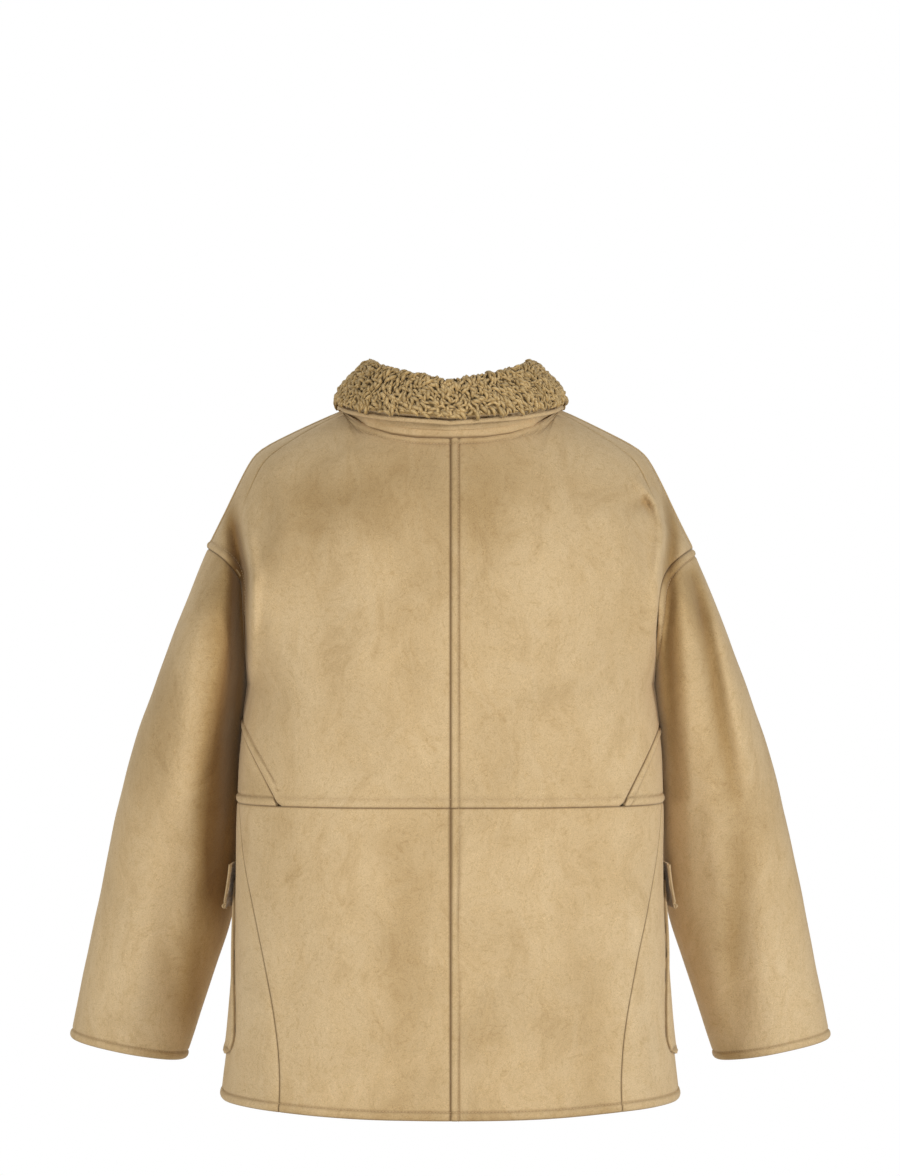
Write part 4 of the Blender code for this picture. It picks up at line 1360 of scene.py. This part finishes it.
def stitches(name, lines):
    """One piece of thread stitches along every line, a line being points or None for a break."""
    sizes = bpy.context.scene.jacket_sizes
    verts, edges = [], []
    for line in lines:
        last = None
        for point in line:
            if point is None:
                last = None
                continue
            verts.append(tuple(point))
            if last is not None:
                edges.append((last, len(verts) - 1))
            last = len(verts) - 1
    mesh = bpy.data.meshes.new(name + "_lines")
    mesh.from_pydata(verts, edges, [])
    carrier = new_piece(name + "_lines", mesh)
    tree, names = stitch_tree()
    piece = grown(carrier, tree, names, {
        "Pitch": sizes.stitch_pitch,
        "Stitch Size": (sizes.stitch_length, sizes.thread_width, sizes.thread_width * 0.8),
        "Thread": material("Topstitch_Thread")}, name)
    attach(piece, "root")
    return piece


def dressed(piece, node):
    """The calls that every cloth piece needs."""
    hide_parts(node)
    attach(piece, "root")


HEM_TONE = 0.26              # how much browner the cloth is at the hem and cuffs
HEM_TONE_REACH = 0.007
FOLD_SHADE_GAIN = 45.0           # how much painted shade troughs get, and painted highlight ridges get

BACK_SIZE = (0.25, 0.40)     # an upper's nominal width and length
SHOULDER_SEAM_FROM = 0.115   # the seam behind the shoulder, as a share of the upper's length
SHOULDER_SEAM_X = 0.154      # where it lies at that share; it drops further out
SHOULDER_SEAM_ENDS = ((0.108, 0.012), (0.216, 0.014))   # x of each end, and how it fades in
SHOULDER_SEAM_ZONE = (0.765, 0.92)    # the rows that are closer together, and by how much
SHOULDER_SEAM_STEP = 0.0022
SHOULDER_SEAM_DEPTH = 0.0014
SHOULDER_SEAM_HALF = 0.0013
SOFT_WAVES = ((0.17, 3, 0.0009), (0.065, 4, 0.00035))   # size, seed and rise of the cloth's waves
LINING_WAVES = (0.012, 9, 0.0004)
TROUGH_SHADE_MOST, RIDGE_LIGHT_MOST = -0.9, 0.2     # the most painted shade in troughs and painted highlight on ridges


def shoulder_rows(rows):
    """The rows of a back upper, closer together around the seam behind the shoulder."""
    low, high = SHOULDER_SEAM_ZONE
    outside = rows[(rows < low) | (rows > high)]
    return np.sort(np.concatenate([outside, np.arange(low, high, SHOULDER_SEAM_STEP)]))


def shoulder_seam(sheet):
    """How deep in the seam behind the shoulder each point of a back upper lies, 0 to 1."""
    place = np.abs(sheet.points[..., 0])
    share = SHOULDER_SEAM_FROM + place - SHOULDER_SEAM_X
    distance = (1 - sheet.rows[:, None] - share) * BACK_SIZE[1]
    (low, fade_in), (high, fade_out) = SHOULDER_SEAM_ENDS
    reach = (np.clip((place - low) / fade_in, 0, 1)
             * np.clip((high - place) / fade_out, 0, 1))
    return reach * np.exp(-(distance / SHOULDER_SEAM_HALF) ** 2)


def panel(name, place, outward, size, edges, lift=None, closed=False, spacing=0.0048,
          thickness=WALL, patches=BODY_NAP_AND_LIGHT, seamed=False):
    """One panel of the jacket on its surface; returns its sheet, rise and object."""
    sizes = bpy.context.scene.jacket_sizes
    width, length = size
    if closed:
        columns = np.linspace(0.0, 1.0, round(width / spacing) + 1)
    else:
        columns = grid_lines(width, spacing)
    rows = grid_lines(length, spacing)
    if seamed:
        rows = shoulder_rows(rows)
    sheet = Sheet(place, columns, rows, outward, closed)
    # brushed nap, with patches of painted light and painted shade
    nap = nap_and_light_tone(sheet.points, sheet.normals, patches)
    fold = bend_of(sheet.points, closed) * sizes.fold_depth
    # painted shade in the fold troughs and painted highlight on the fold ridges
    nap += np.clip(fold * FOLD_SHADE_GAIN, TROUGH_SHADE_MOST, RIDGE_LIGHT_MOST)
    for edge, stitch, *_ in edges:
        if stitch == EDGE_STITCH:
            nap -= HEM_TONE * np.exp(-(sheet.edge(edge) / HEM_TONE_REACH) ** 2)
    sheet.bend(fold)
    soft = sum(wander(sheet.points, size, seed) * rise for size, seed, rise in SOFT_WAVES)
    if lift:
        soft += lift(sheet)
    if seamed:
        seam = shoulder_seam(sheet)
        soft -= SHOULDER_SEAM_DEPTH * seam
        # painted shade in the seam behind the shoulder
        nap -= seam
    relief, groove = seam_relief(sheet, edges)
    rise = soft + relief
    size, seed, depth = LINING_WAVES
    lining = soft + wander(sheet.points, size, seed) * depth
    piece = shell(name + "_cloth", sheet, rise, groove, thickness,
                  [material("Napped_Suede"), material("Fleece_Lining")], lining, nap)
    return sheet, rise, piece


def closing_rise(side):
    """The wearer's right front lies over the left one."""
    def lift(sheet):
        if side > 0:
            return np.zeros(sheet.points.shape[:2])
        share = np.clip((sheet.points[..., 0] + BLEND_END) / OVERLAP_BLEND, 0, 1)
        return LAYER * share * share * (3 - 2 * share)
    return lift


SIDES = (("left", 1), ("right", -1))
WAIST_STITCH = 0.0092        # from the waist seam to its row of stitches
SEAM_STITCH = 0.0084         # from any other seam
EDGE_STITCH = 0.0090         # from the hem and the cuffs
SKIRT_ROLL = ROLL * 0.7      # roll beside the skirt's curved seam
DIAGONAL_END_X = DIAGONAL[0][0]
GUSSET_STITCH_X = DIAGONAL_END_X + 0.016   # the gusset's stitches start past its corner
GUSSET_STITCH_Z = WAIST_Z + 0.010


def sewn(name, place, outward, size, edges, seams, **options):
    """Makes one panel with its calls; returns its lines of topstitch."""
    sheet, rise, piece = panel(name, place, outward, size, edges, **options)
    dressed(piece, name)
    return [stitch_line(sheet, rise, *seam) for seam in seams]


class JACKET_OT_back(bpy.types.Operator):
    """Makes the back: two uppers, two side gussets under the arms and two skirts"""
    bl_idname = "jacket.back"
    bl_label = "Back"

    def execute(self, context):
        lines = []
        for label, side in SIDES:
            left = side > 0
            centre = 0 if left else SEAM_STITCH
            if left:
                seams = (("bottom", WAIST_STITCH),
                         ("end", SEAM_STITCH, lambda p: p[2] > UNDERARM_Z),
                         ("top", SEAM_STITCH))
            else:
                seams = (("bottom", WAIST_STITCH, lambda p: abs(p[0]) < DIAGONAL_END_X),
                         ("start", SEAM_STITCH), ("top", SEAM_STITCH))
            lines += sewn("back_upper_" + label, upper_place(side, False), -side, BACK_SIZE,
                          (("start", centre, ROLL),
                           ("bottom", WAIST_STITCH, ROLL, 1.0 if left else DIAGONAL_END_X),
                           ("top", SEAM_STITCH, ROLL), ("end", SEAM_STITCH - centre, ROLL)),
                          seams, seamed=True)
            seams = [("bottom", WAIST_STITCH, lambda p: abs(p[0]) > GUSSET_STITCH_X)]
            if not left:
                seams.append(("top", SEAM_STITCH, lambda p: p[2] > GUSSET_STITCH_Z))
            lines += sewn("side_gusset_" + label, gusset_place(side), -side, (0.11, 0.075),
                          (("bottom", WAIST_STITCH, ROLL), ("end", 0, ROLL),
                           ("top", centre, ROLL)), seams, spacing=0.004)
            seams = [("bottom", EDGE_STITCH)] + ([] if left else [("start", SEAM_STITCH)])
            lines += sewn("back_skirt_" + label, skirt_back_place(side), -side, (0.20, 0.31),
                          (("start", centre, ROLL), ("end", 0, SKIRT_ROLL), ("top", 0, ROLL),
                           ("bottom", EDGE_STITCH, ROLL)), seams)
        stitches("stitches_back", lines)
        return {"FINISHED"}


class JACKET_OT_front(bpy.types.Operator):
    """Makes the two fronts, upper and skirt, the wearer's right one over the left"""
    bl_idname = "jacket.front"
    bl_label = "Front"

    def execute(self, context):
        lines = []
        for label, side in SIDES:
            lift = closing_rise(side)
            lines += sewn("front_upper_" + label, upper_place(side, True), side, (0.27, 0.40),
                          (("start", SEAM_STITCH, ROLL), ("end", 0, ROLL), ("top", 0, ROLL),
                           ("bottom", WAIST_STITCH, ROLL)),
                          (("start", SEAM_STITCH), ("bottom", WAIST_STITCH)), lift=lift)
            lines += sewn("front_skirt_" + label, skirt_front_place(side), side, (0.36, 0.31),
                          (("start", SEAM_STITCH, ROLL), ("end", 0, SKIRT_ROLL),
                           ("top", 0, ROLL), ("bottom", EDGE_STITCH, ROLL)),
                          (("start", SEAM_STITCH), ("bottom", EDGE_STITCH)), lift=lift)
        stitches("stitches_front", lines)
        return {"FINISHED"}


class JACKET_OT_sleeves(bpy.types.Operator):
    """Makes the two sleeves, open tubes from the armhole to the cuff"""
    bl_idname = "jacket.sleeves"
    bl_label = "Sleeves"

    def execute(self, context):
        lines = []
        for label, side in SIDES:
            left = side > 0
            seams = [("top", EDGE_STITCH)] + ([] if left else [("bottom", SEAM_STITCH)])
            lines += sewn("sleeve_" + label, sleeve_place(side), -side, (0.50, 0.50),
                          (("bottom", 0 if left else SEAM_STITCH, ROLL),
                           ("top", EDGE_STITCH, ROLL)),
                          seams, closed=True, patches=SLEEVE_NAP_AND_LIGHT)
        stitches("stitches_sleeves", lines)
        return {"FINISHED"}


POCKET_STITCH = 0.0055       # from a pocket's or flap's edge to its stitches
POCKET_RISE = 0.0027
POCKET_RELIEF = 0.0016       # how far a pocket's or flap's edges roll in


class JACKET_OT_pockets(bpy.types.Operator):
    """Makes the patch pockets round the sides and their flaps"""
    bl_idname = "jacket.pockets"
    bl_label = "Pockets"

    def execute(self, context):
        lines = []
        around = ("start", "end", "bottom")
        edges = [(edge, POCKET_STITCH, POCKET_RELIEF) for edge in around]
        seams = [(edge, POCKET_STITCH) for edge in around]
        for label, side in SIDES:
            lines += sewn("pocket_" + label, pocket_place(side), -side, (0.20, 0.175), edges,
                          seams, lift=pocket_lift, thickness=POCKET_WALL, spacing=0.005)
            lines += sewn("pocket_flap_" + label, flap_place(side), -side, (0.16, 0.046), edges,
                          seams, lift=flap_lift(side), thickness=POCKET_WALL, spacing=0.004)
        stitches("stitches_pockets", lines)
        return {"FINISHED"}


def pocket_lift(sheet):
    """The pocket's even rise over the body."""
    return np.full(sheet.points.shape[:2], POCKET_RISE)


def flap_lift(side):
    """The flap's rise over its pocket, most at its back lower corner."""
    def lift(sheet):
        columns = sheet.columns if side < 0 else 1 - sheet.columns
        return np.array([[flap_rise(u, v) for u in columns] for v in sheet.rows])
    return lift


# ---------------------------------------------------------------- making the collar
PILE_INSET = 0.0022          # the pile's ground lies this far under its reach
COLLAR_SECTIONS = 200        # sections of the fleece, stand and binding round the neck
PILE_SECTIONS = 120          # sections of the ground that the locks grow from
FOLD_SHARE = 0.52            # where the fleece folds over, as a share of its section
LOCK_DENSITY = 200000.0      # locks tried for each square metre before spacing them
LOCK_SIZES = (0.60, 1.30)    # smallest and largest lock
GROUND_TONE = 0.3            # tone of the fleece between the locks
EDGE_LIGHT = 0.75            # painted light on the fleece where it meets the binding, where it lies in shade
EDGE_LIGHT_STEPS = 4         # points of a section over which that fades out
STAND_DEPTH = 0.024          # nominal height of the stand
STAND_SPACING = 0.003
STAND_SHADE, STAND_SHADE_REACH = 1.3, 0.0013   # the painted shade where it goes into the neck seam
BINDING_SIDES = 12


def collar_turns(sections):
    """Turns of evenly numbered sections, from one end of the collar to the other."""
    return [COLLAR_END * (2 * k / sections - 1) for k in range(sections + 1)]


def fleece_section(turn):
    """The fleece's middle line at a turn, and its outward normals."""
    out, spine = collar_spine(turn)
    around = UP.cross(out)
    return spine, [around.cross(spine[min(m + 1, SPINE_STEPS)] - spine[max(m - 1, 0)]).normalized()
                   for m in range(SPINE_STEPS + 1)]


def pile_ground(low, high):
    """The pile's ground along part of the fleece's outer face, as a grid of points."""
    grid = []
    for turn in collar_turns(PILE_SECTIONS):
        spine, normals = fleece_section(turn)
        grid.append([spine[m] + normals[m] * (FLEECE_HALF - PILE_INSET)
                     for m in range(low, high + 1)])
    return grid


def grid_object(name, grid):
    rows, columns = len(grid), len(grid[0])
    verts = [tuple(p) for row in grid for p in row]
    faces = [(a * columns + b, a * columns + b + 1, (a + 1) * columns + b + 1,
              (a + 1) * columns + b) for a in range(rows - 1) for b in range(columns - 1)]
    mesh = bpy.data.meshes.new(name)
    mesh.from_pydata(verts, [], faces)
    return new_piece(name, mesh)


def ring_solid(name, rings, materials):
    """A closed solid through rings of points."""
    count = len(rings[0])
    verts = [tuple(p) for ring in rings for p in ring]
    faces = []
    for k in range(len(rings) - 1):
        for a in range(count):
            b = (a + 1) % count
            faces.append((k * count + a, k * count + b, (k + 1) * count + b, (k + 1) * count + a))
    faces.append(tuple(range(count)))
    faces.append(tuple(reversed(range((len(rings) - 1) * count, len(rings) * count))))
    mesh = bpy.data.meshes.new(name)
    mesh.from_pydata(verts, [], faces)
    shape = bmesh.new()
    shape.from_mesh(mesh)
    bmesh.ops.recalc_face_normals(shape, faces=shape.faces)
    shape.to_mesh(mesh)
    shape.free()
    mesh.shade_smooth()
    mesh.set_sharp_from_angle(angle=SOLID_SHARP)
    for item in materials:
        mesh.materials.append(item)
    return new_piece(name, mesh)


def make_fleece():
    """The fleece's solid, bare of locks."""
    rings = []
    for turn in collar_turns(COLLAR_SECTIONS):
        spine, normals = fleece_section(turn)
        under = [point - normal * FLEECE_HALF for point, normal in zip(spine, normals)]
        upper = [point + normal * (FLEECE_HALF - PILE_INSET)
                 for point, normal in zip(spine, normals)]
        tail = spine[-1] + (spine[-1] - spine[-2]).normalized() * EDGE_CAP
        rings.append(under + [tail] + upper[::-1])
    ground = ring_solid("collar_fleece", rings, [material("Curly_Pile")])
    # painted light on the ground beside the binding
    last = len(rings[0]) - 1
    edge_light = [EDGE_LIGHT * max(0.0, 1 - min(m, last - m) / EDGE_LIGHT_STEPS)
            for m in range(last + 1)]
    count = len(ground.data.vertices)
    # elsewhere the ground between the locks takes the roots' painted shade
    store(ground.data, "tone", [GROUND_TONE] * count)
    store(ground.data, "crest", [edge_light[k % len(edge_light)] for k in range(count)])
    dressed(ground, "collar_fall")


def make_locks(sizes):
    """The curly locks on the fall and inside the neck."""
    locks = bpy.data.collections.new("Locks")
    for index in range(LOCK_KINDS):
        locks.objects.link(bpy.data.objects.new("Lock_%d" % index, lock_mesh(index)))
    fold = round(SPINE_STEPS * FOLD_SHARE)
    for name, low, high in (("collar_curls_fall", 0, fold),
                            ("collar_curls_neck", fold, SPINE_STEPS)):
        carrier = grid_object(name + "_ground", pile_ground(low, high))
        tree, names = curl_tree()
        piece = grown(carrier, tree, names, {
            "Spacing": sizes.curl_spacing, "Density": LOCK_DENSITY,
            "Smallest": LOCK_SIZES[0], "Largest": LOCK_SIZES[1],
            "Locks": locks, "Pile": material("Curly_Pile")}, name)
        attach(piece, "root")
    for item in list(locks.objects):
        bpy.data.objects.remove(item, do_unlink=True)
    bpy.data.collections.remove(locks)


def make_stand():
    """The collar's stand, with painted shade where it goes into the neck seam."""
    columns = np.linspace(0.0, 1.0, COLLAR_SECTIONS + 1)
    sheet = Sheet(stand_place, columns, grid_lines(STAND_DEPTH, STAND_SPACING), -1)
    relief, groove = seam_relief(sheet, (("bottom", 0, ROLL * 0.6), ("top", 0, ROLL * 0.5)))
    above = sheet.bottom + STAND_SEAM
    # painted shade where the stand goes into the neck seam
    groove = np.maximum(groove, np.clip(STAND_SHADE - above / STAND_SHADE_REACH, 0.0, 1.0))
    stand = shell("collar_stand_cloth", sheet, relief, groove, STAND_WALL,
                  [material("Napped_Suede")])
    dressed(stand, "collar_stand")


def make_binding():
    """The rolled binding along the fall's lower edge."""
    rings = []
    for turn in collar_turns(COLLAR_SECTIONS):
        _, _, edge_r, edge_z, out, _, _ = collar_row(turn)
        centre = out * edge_r + UP * (edge_z - EDGE_CAP - BINDING_WIDTH / 2)
        rings.append([centre + out * (BINDING_WALL / 2 * math.cos(angle))
                      + UP * (BINDING_WIDTH / 2 * math.sin(angle))
                      for angle in [2 * math.pi * m / BINDING_SIDES
                                    for m in range(BINDING_SIDES)]])
    binding = ring_solid("collar_binding_cloth", rings, [material("Napped_Suede")])
    dressed(binding, "collar_binding")


class JACKET_OT_collar(bpy.types.Operator):
    """Makes the collar: stand, rolled binding, and the fall with its curly pile"""
    bl_idname = "jacket.collar"
    bl_label = "Collar"

    def execute(self, context):
        make_fleece()
        make_locks(context.scene.jacket_sizes)
        make_stand()
        make_binding()
        return {"FINISHED"}


# ---------------------------------------------------------------- making the buttons
class JACKET_OT_buttons(bpy.types.Operator):
    """Makes the dished buttons with their four holes, sewn on with crossed thread"""
    bl_idname = "jacket.buttons"
    bl_label = "Buttons"

    def execute(self, context):
        for number in range(1, len(BUTTON_LEVELS) + 1):
            make_button(number)
        return {"FINISHED"}


# radius as a share of the button's, and height over the middle of its thickness
BUTTON_PROFILE = (
    (0.00, 0.0004), (0.42, 0.0004), (0.56, 0.0007), (0.70, 0.0017), (0.80, 0.0020),
    (0.92, 0.0017), (1.00, 0.0005), (1.00, -0.0008), (0.93, -0.0018), (0.00, -0.0020),
)
BUTTON_SIDES = 40
BUTTON_LEVEL_STEP = 0.004    # how far above and below a button its lean is taken
HOLE_REACH = 0.0026          # from a button's middle to its holes
HOLE_RADIUS = 0.0009
HOLE_SIDES, HOLE_DEPTH = 14, 0.012
THREAD_RADIUS = 0.00045      # of the thread that sews a button on
THREAD_SPREAD = 0.0008       # from one strand of a stitch to the next
SHANK = (-0.0019, -0.0026)   # heights between which the shank of thread shows
SHANK_RADIUS = 0.0016


def button_disc(name):
    """A dished disc, turned from its profile."""
    steps = BUTTON_SIDES
    verts = [Vector((0, 0, BUTTON_PROFILE[0][1]))]
    for radius, height in BUTTON_PROFILE[1:-1]:
        verts += round_points(steps, BUTTON_RADIUS * radius, height)
    verts.append(Vector((0, 0, BUTTON_PROFILE[-1][1])))
    faces = [(0, 1 + k, 1 + (k + 1) % steps) for k in range(steps)]
    rings = len(BUTTON_PROFILE) - 2
    for r in range(rings - 1):
        for k in range(steps):
            a, b = 1 + r * steps + k, 1 + r * steps + (k + 1) % steps
            faces.append((a, a + steps, b + steps, b))
    last = len(verts) - 1
    base = 1 + (rings - 1) * steps
    faces += [(last, base + (k + 1) % steps, base + k) for k in range(steps)]
    mesh = bpy.data.meshes.new(name)
    mesh.from_pydata([tuple(v) for v in verts], [], faces)
    return new_piece(name, mesh)


def drilled(disc):
    """The disc's mesh with its four holes; the disc itself is removed."""
    cutters = []
    for place in round_points(4, HOLE_REACH, start=math.pi / 4):
        bpy.ops.mesh.primitive_cylinder_add(vertices=HOLE_SIDES, radius=HOLE_RADIUS,
                                            depth=HOLE_DEPTH, location=place)
        cutters.append(bpy.context.object)
    for cutter in cutters:
        hole = disc.modifiers.new("Hole", "BOOLEAN")
        hole.operation, hole.object, hole.solver = "DIFFERENCE", cutter, "EXACT"
    bpy.context.view_layer.update()
    mesh = bpy.data.meshes.new_from_object(
        disc.evaluated_get(bpy.context.evaluated_depsgraph_get()))
    for item in cutters + [disc]:
        bpy.data.objects.remove(item, do_unlink=True)
    return mesh


def make_button(number):
    """One button on the closing, with its thread."""
    name = "button_%d" % number
    low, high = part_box(name)
    centre = (Vector(low) + Vector(high)) / 2
    z = BUTTON_LEVELS[number - 1]
    slant = closing_point(z + BUTTON_LEVEL_STEP) - closing_point(z - BUTTON_LEVEL_STEP)
    turn = Vector((1, 0, 0)).cross(slant).normalized().to_track_quat("Z", "Y").to_matrix()
    mesh = drilled(button_disc(name + "_disc"))
    mesh.materials.clear()
    mesh.materials.append(material("Dark_Horn"))
    mesh.polygons.foreach_set("material_index", [0] * len(mesh.polygons))
    for vertex in mesh.vertices:
        vertex.co = turn @ vertex.co + centre
    mesh.shade_smooth()
    mesh.set_sharp_from_angle(angle=BUTTON_SHARP)
    mesh.name = name + "_horn"
    button = new_piece(name + "_horn", mesh)
    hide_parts(name)
    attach(button, "root")
    thread = button_thread(name + "_thread", centre, turn)
    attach(thread, "root")


def button_thread(name, centre, turn):
    """Two crossed stitches over the dish and a short shank under the button."""
    shape = bmesh.new()
    for k in range(4):
        angle = math.pi / 4 + k % 2 * math.pi / 2
        shift = (k // 2 - 0.5) * THREAD_SPREAD
        along_ = Vector((math.cos(angle), math.sin(angle), 0))
        aside = Vector((-along_.y, along_.x, 0)) * shift
        spots = []
        for m in range(7):
            t = -1 + m / 3
            height = 0.0004 + 0.0007 * (1 - t ** 4) - 0.0012 * abs(t) ** 10
            spots.append(aside + along_ * (HOLE_REACH * t) + Vector((0, 0, height)))
        tube(shape, spots, THREAD_RADIUS, 7)
    tube(shape, [Vector((0, 0, height)) for height in SHANK], SHANK_RADIUS, 10)
    mesh = bpy.data.meshes.new(name)
    shape.to_mesh(mesh)
    shape.free()
    mesh.shade_smooth()
    mesh.materials.append(material("Topstitch_Thread"))
    for vertex in mesh.vertices:
        vertex.co = turn @ vertex.co + centre
    return new_piece(name, mesh)


def tube(shape, spots, radius, sides):
    """Adds a round bar through spots, with closed ends."""
    rings = []
    for k, spot in enumerate(spots):
        ahead = (spots[min(k + 1, len(spots) - 1)] - spots[max(k - 1, 0)]).normalized()
        turn = ahead.to_track_quat("Z", "Y").to_matrix()
        rings.append([shape.verts.new(spot + turn @ point)
                      for point in round_points(sides, radius)])
    for first, second in zip(rings, rings[1:]):
        for s in range(sides):
            shape.faces.new((first[s], first[(s + 1) % sides], second[(s + 1) % sides], second[s]))
    shape.faces.new(rings[0][::-1])
    shape.faces.new(rings[-1])


def closing_point(z):
    """A point on the centre front at a height."""
    if z <= UNDERARM_Z:
        return tube_point(2.0, z, 1)
    rise = halved(lambda rise: centre_line(rise, True)[1] < z, 0.0, 1.0)
    return yoke_point(0.0, rise, 1, True)


# ---------------------------------------------------------------- stage
CAMERA_DISTANCE = 3.9
CAMERA_X, CAMERA_Z = 0.0005, -0.185
FRAME_HEIGHT = 1.2348        # height of the picture at the jacket, in metres
# soft lights, all aimed at the jacket's middle: x, y, z, size, power, colour
LIGHTS = (
    (-2.7, 2.3, 0.35, 0.8, 60.0, (0.98, 0.985, 1.0)),
    (2.9, 2.2, 0.1, 1.6, 42.0, (1.0, 0.985, 0.96)),
    (-0.2, 3.6, -1.3, 2.0, 35.0, (1.0, 0.99, 0.98)),
    (0.6, -3.0, 1.4, 3.0, 68.0, (1.0, 0.99, 0.97)),
)
WORLD_LIGHT = 0.28
FLOOR_DROP = 0.35            # the floor lies this far below the hem
FLOOR_RADIUS = 1.3


class JACKET_OT_stage(bpy.types.Operator):
    """Sets up the pale floor, the soft lights, the world and the camera"""
    bl_idname = "jacket.stage"
    bl_label = "Stage"

    def execute(self, context):
        scene = context.scene
        scene.view_settings.view_transform = "Standard"
        scene.view_settings.look = "None"
        target = Vector((0.0, 0.0, (CAD_LOW.z + CAD_HIGH.z) / 2))
        for number, (x, y, z, size, power, colour) in enumerate(LIGHTS, start=1):
            light = bpy.data.lights.new("Softbox_%d" % number, "AREA")
            light.shape = "DISK"
            light.size, light.energy, light.color = size, power, colour
            lamp = bpy.data.objects.new("Softbox_%d" % number, light)
            lamp.location = (x, y, z)
            lamp.rotation_euler = (target - Vector((x, y, z))).to_track_quat("-Z", "Y").to_euler()
            scene.collection.objects.link(lamp)
        world = bpy.data.worlds.new("Studio")
        scene.world = world
        world.use_nodes = True
        tree = world.node_tree
        soft = tree.nodes["Background"]
        soft.inputs["Color"].default_value = (1.0, 0.99, 0.97, 1.0)
        soft.inputs["Strength"].default_value = WORLD_LIGHT
        backdrop = put(tree, "ShaderNodeBackground", {"Color": (*WHITE, 1.0), "Strength": 1.0})
        path = put(tree, "ShaderNodeLightPath")
        choose = put(tree, "ShaderNodeMixShader", links={
            0: path.outputs["Is Camera Ray"], 1: soft.outputs[0], 2: backdrop.outputs[0]})
        tree.links.new(choose.outputs[0], tree.nodes["World Output"].inputs["Surface"])
        bpy.ops.mesh.primitive_circle_add(vertices=96, radius=FLOOR_RADIUS, fill_type="NGON",
                                          location=(0, 0, CAD_LOW.z - FLOOR_DROP))
        floor = bpy.context.object
        floor.name = "Floor"
        floor.data.materials.append(plain_material("Pale_Floor", (0.86, 0.85, 0.84), 0.9))
        camera = bpy.data.cameras.new("Camera")
        camera.sensor_width = 36.0
        camera.lens = camera.sensor_width * CAMERA_DISTANCE / FRAME_HEIGHT
        eye = bpy.data.objects.new("Camera", camera)
        eye.location = (CAMERA_X, CAMERA_DISTANCE, CAMERA_Z)
        eye.rotation_euler = Vector((0, -1, 0)).to_track_quat("-Z", "Y").to_euler()
        scene.collection.objects.link(eye)
        scene.camera = eye
        return {"FINISHED"}


# ---------------------------------------------------------------- settings, panel and main
def colour_property(name, description, default):
    return FloatVectorProperty(name=name, description=description, default=default,
                               subtype="COLOR", size=3, min=0.0, max=1.0)


def length_property(name, description, default, low, high):
    return FloatProperty(name=name, description=description, default=default, min=low, max=high,
                         unit="LENGTH")


class JacketSizes(bpy.types.PropertyGroup):
    fold_depth: FloatProperty(name="Fold Depth", description="How deep the soft folds are",
                              default=1.6, min=0.0, max=2.0, subtype="FACTOR")
    stitch_pitch: length_property("Stitch Pitch", "From one stitch to the next",
                                  0.0034, 0.001, 0.01)
    stitch_length: length_property("Stitch Length", "Length of a stitch on top",
                                   0.0027, 0.001, 0.01)
    thread_width: length_property("Thread Width", "Thickness of the topstitch thread",
                                  0.0007, 0.0002, 0.002)
    curl_spacing: length_property("Curl Spacing", "Least distance between two locks",
                                  0.0027, 0.002, 0.02)


class JacketColours(bpy.types.PropertyGroup):
    suede: colour_property("Suede", "Mean colour of the napped cloth", (0.632, 0.463, 0.255))
    # the seam colour is the painted shade deep in a seam
    seam: colour_property("Seam", "Colour deep in a seam", (0.150, 0.082, 0.030))
    fleece: colour_property("Fleece", "Mean colour of the pile", (0.415, 0.279, 0.116))
    # the crest colour is the painted highlight on the pile's crests
    crest: colour_property("Crest", "Colour of the pile's crests", (0.655, 0.490, 0.255))
    thread: colour_property("Thread", "Colour of the topstitch", (0.620, 0.450, 0.250))
    horn: colour_property("Horn", "Colour of the buttons", (0.120, 0.065, 0.030))


OPERATORS = (JACKET_OT_back, JACKET_OT_front, JACKET_OT_sleeves, JACKET_OT_pockets,
             JACKET_OT_collar, JACKET_OT_buttons, JACKET_OT_stage)


class JACKET_PT_panel(bpy.types.Panel):
    """Lists the jacket's pieces and settings"""
    bl_idname = "JACKET_PT_panel"
    bl_label = "Shearling Jacket"
    bl_space_type = "VIEW_3D"
    bl_region_type = "UI"
    bl_category = "Jacket"

    def draw(self, context):
        for settings in (context.scene.jacket_sizes, context.scene.jacket_colours):
            for key in settings.__annotations__:
                self.layout.prop(settings, key)
        for operator in OPERATORS:
            self.layout.operator(operator.bl_idname)


CLASSES = (JacketSizes, JacketColours) + OPERATORS + (JACKET_PT_panel,)


def register():
    for item in CLASSES:
        bpy.utils.register_class(item)
    bpy.types.Scene.jacket_sizes = PointerProperty(type=JacketSizes)
    bpy.types.Scene.jacket_colours = PointerProperty(type=JacketColours)


def unregister():
    del bpy.types.Scene.jacket_colours
    del bpy.types.Scene.jacket_sizes
    for item in reversed(CLASSES):
        bpy.utils.unregister_class(item)


def main():
    register()
    bpy.ops.jacket.back()
    bpy.ops.jacket.front()
    bpy.ops.jacket.sleeves()
    bpy.ops.jacket.pockets()
    bpy.ops.jacket.collar()
    bpy.ops.jacket.buttons()
    bpy.ops.jacket.stage()


if __name__ == "__main__":
    main()
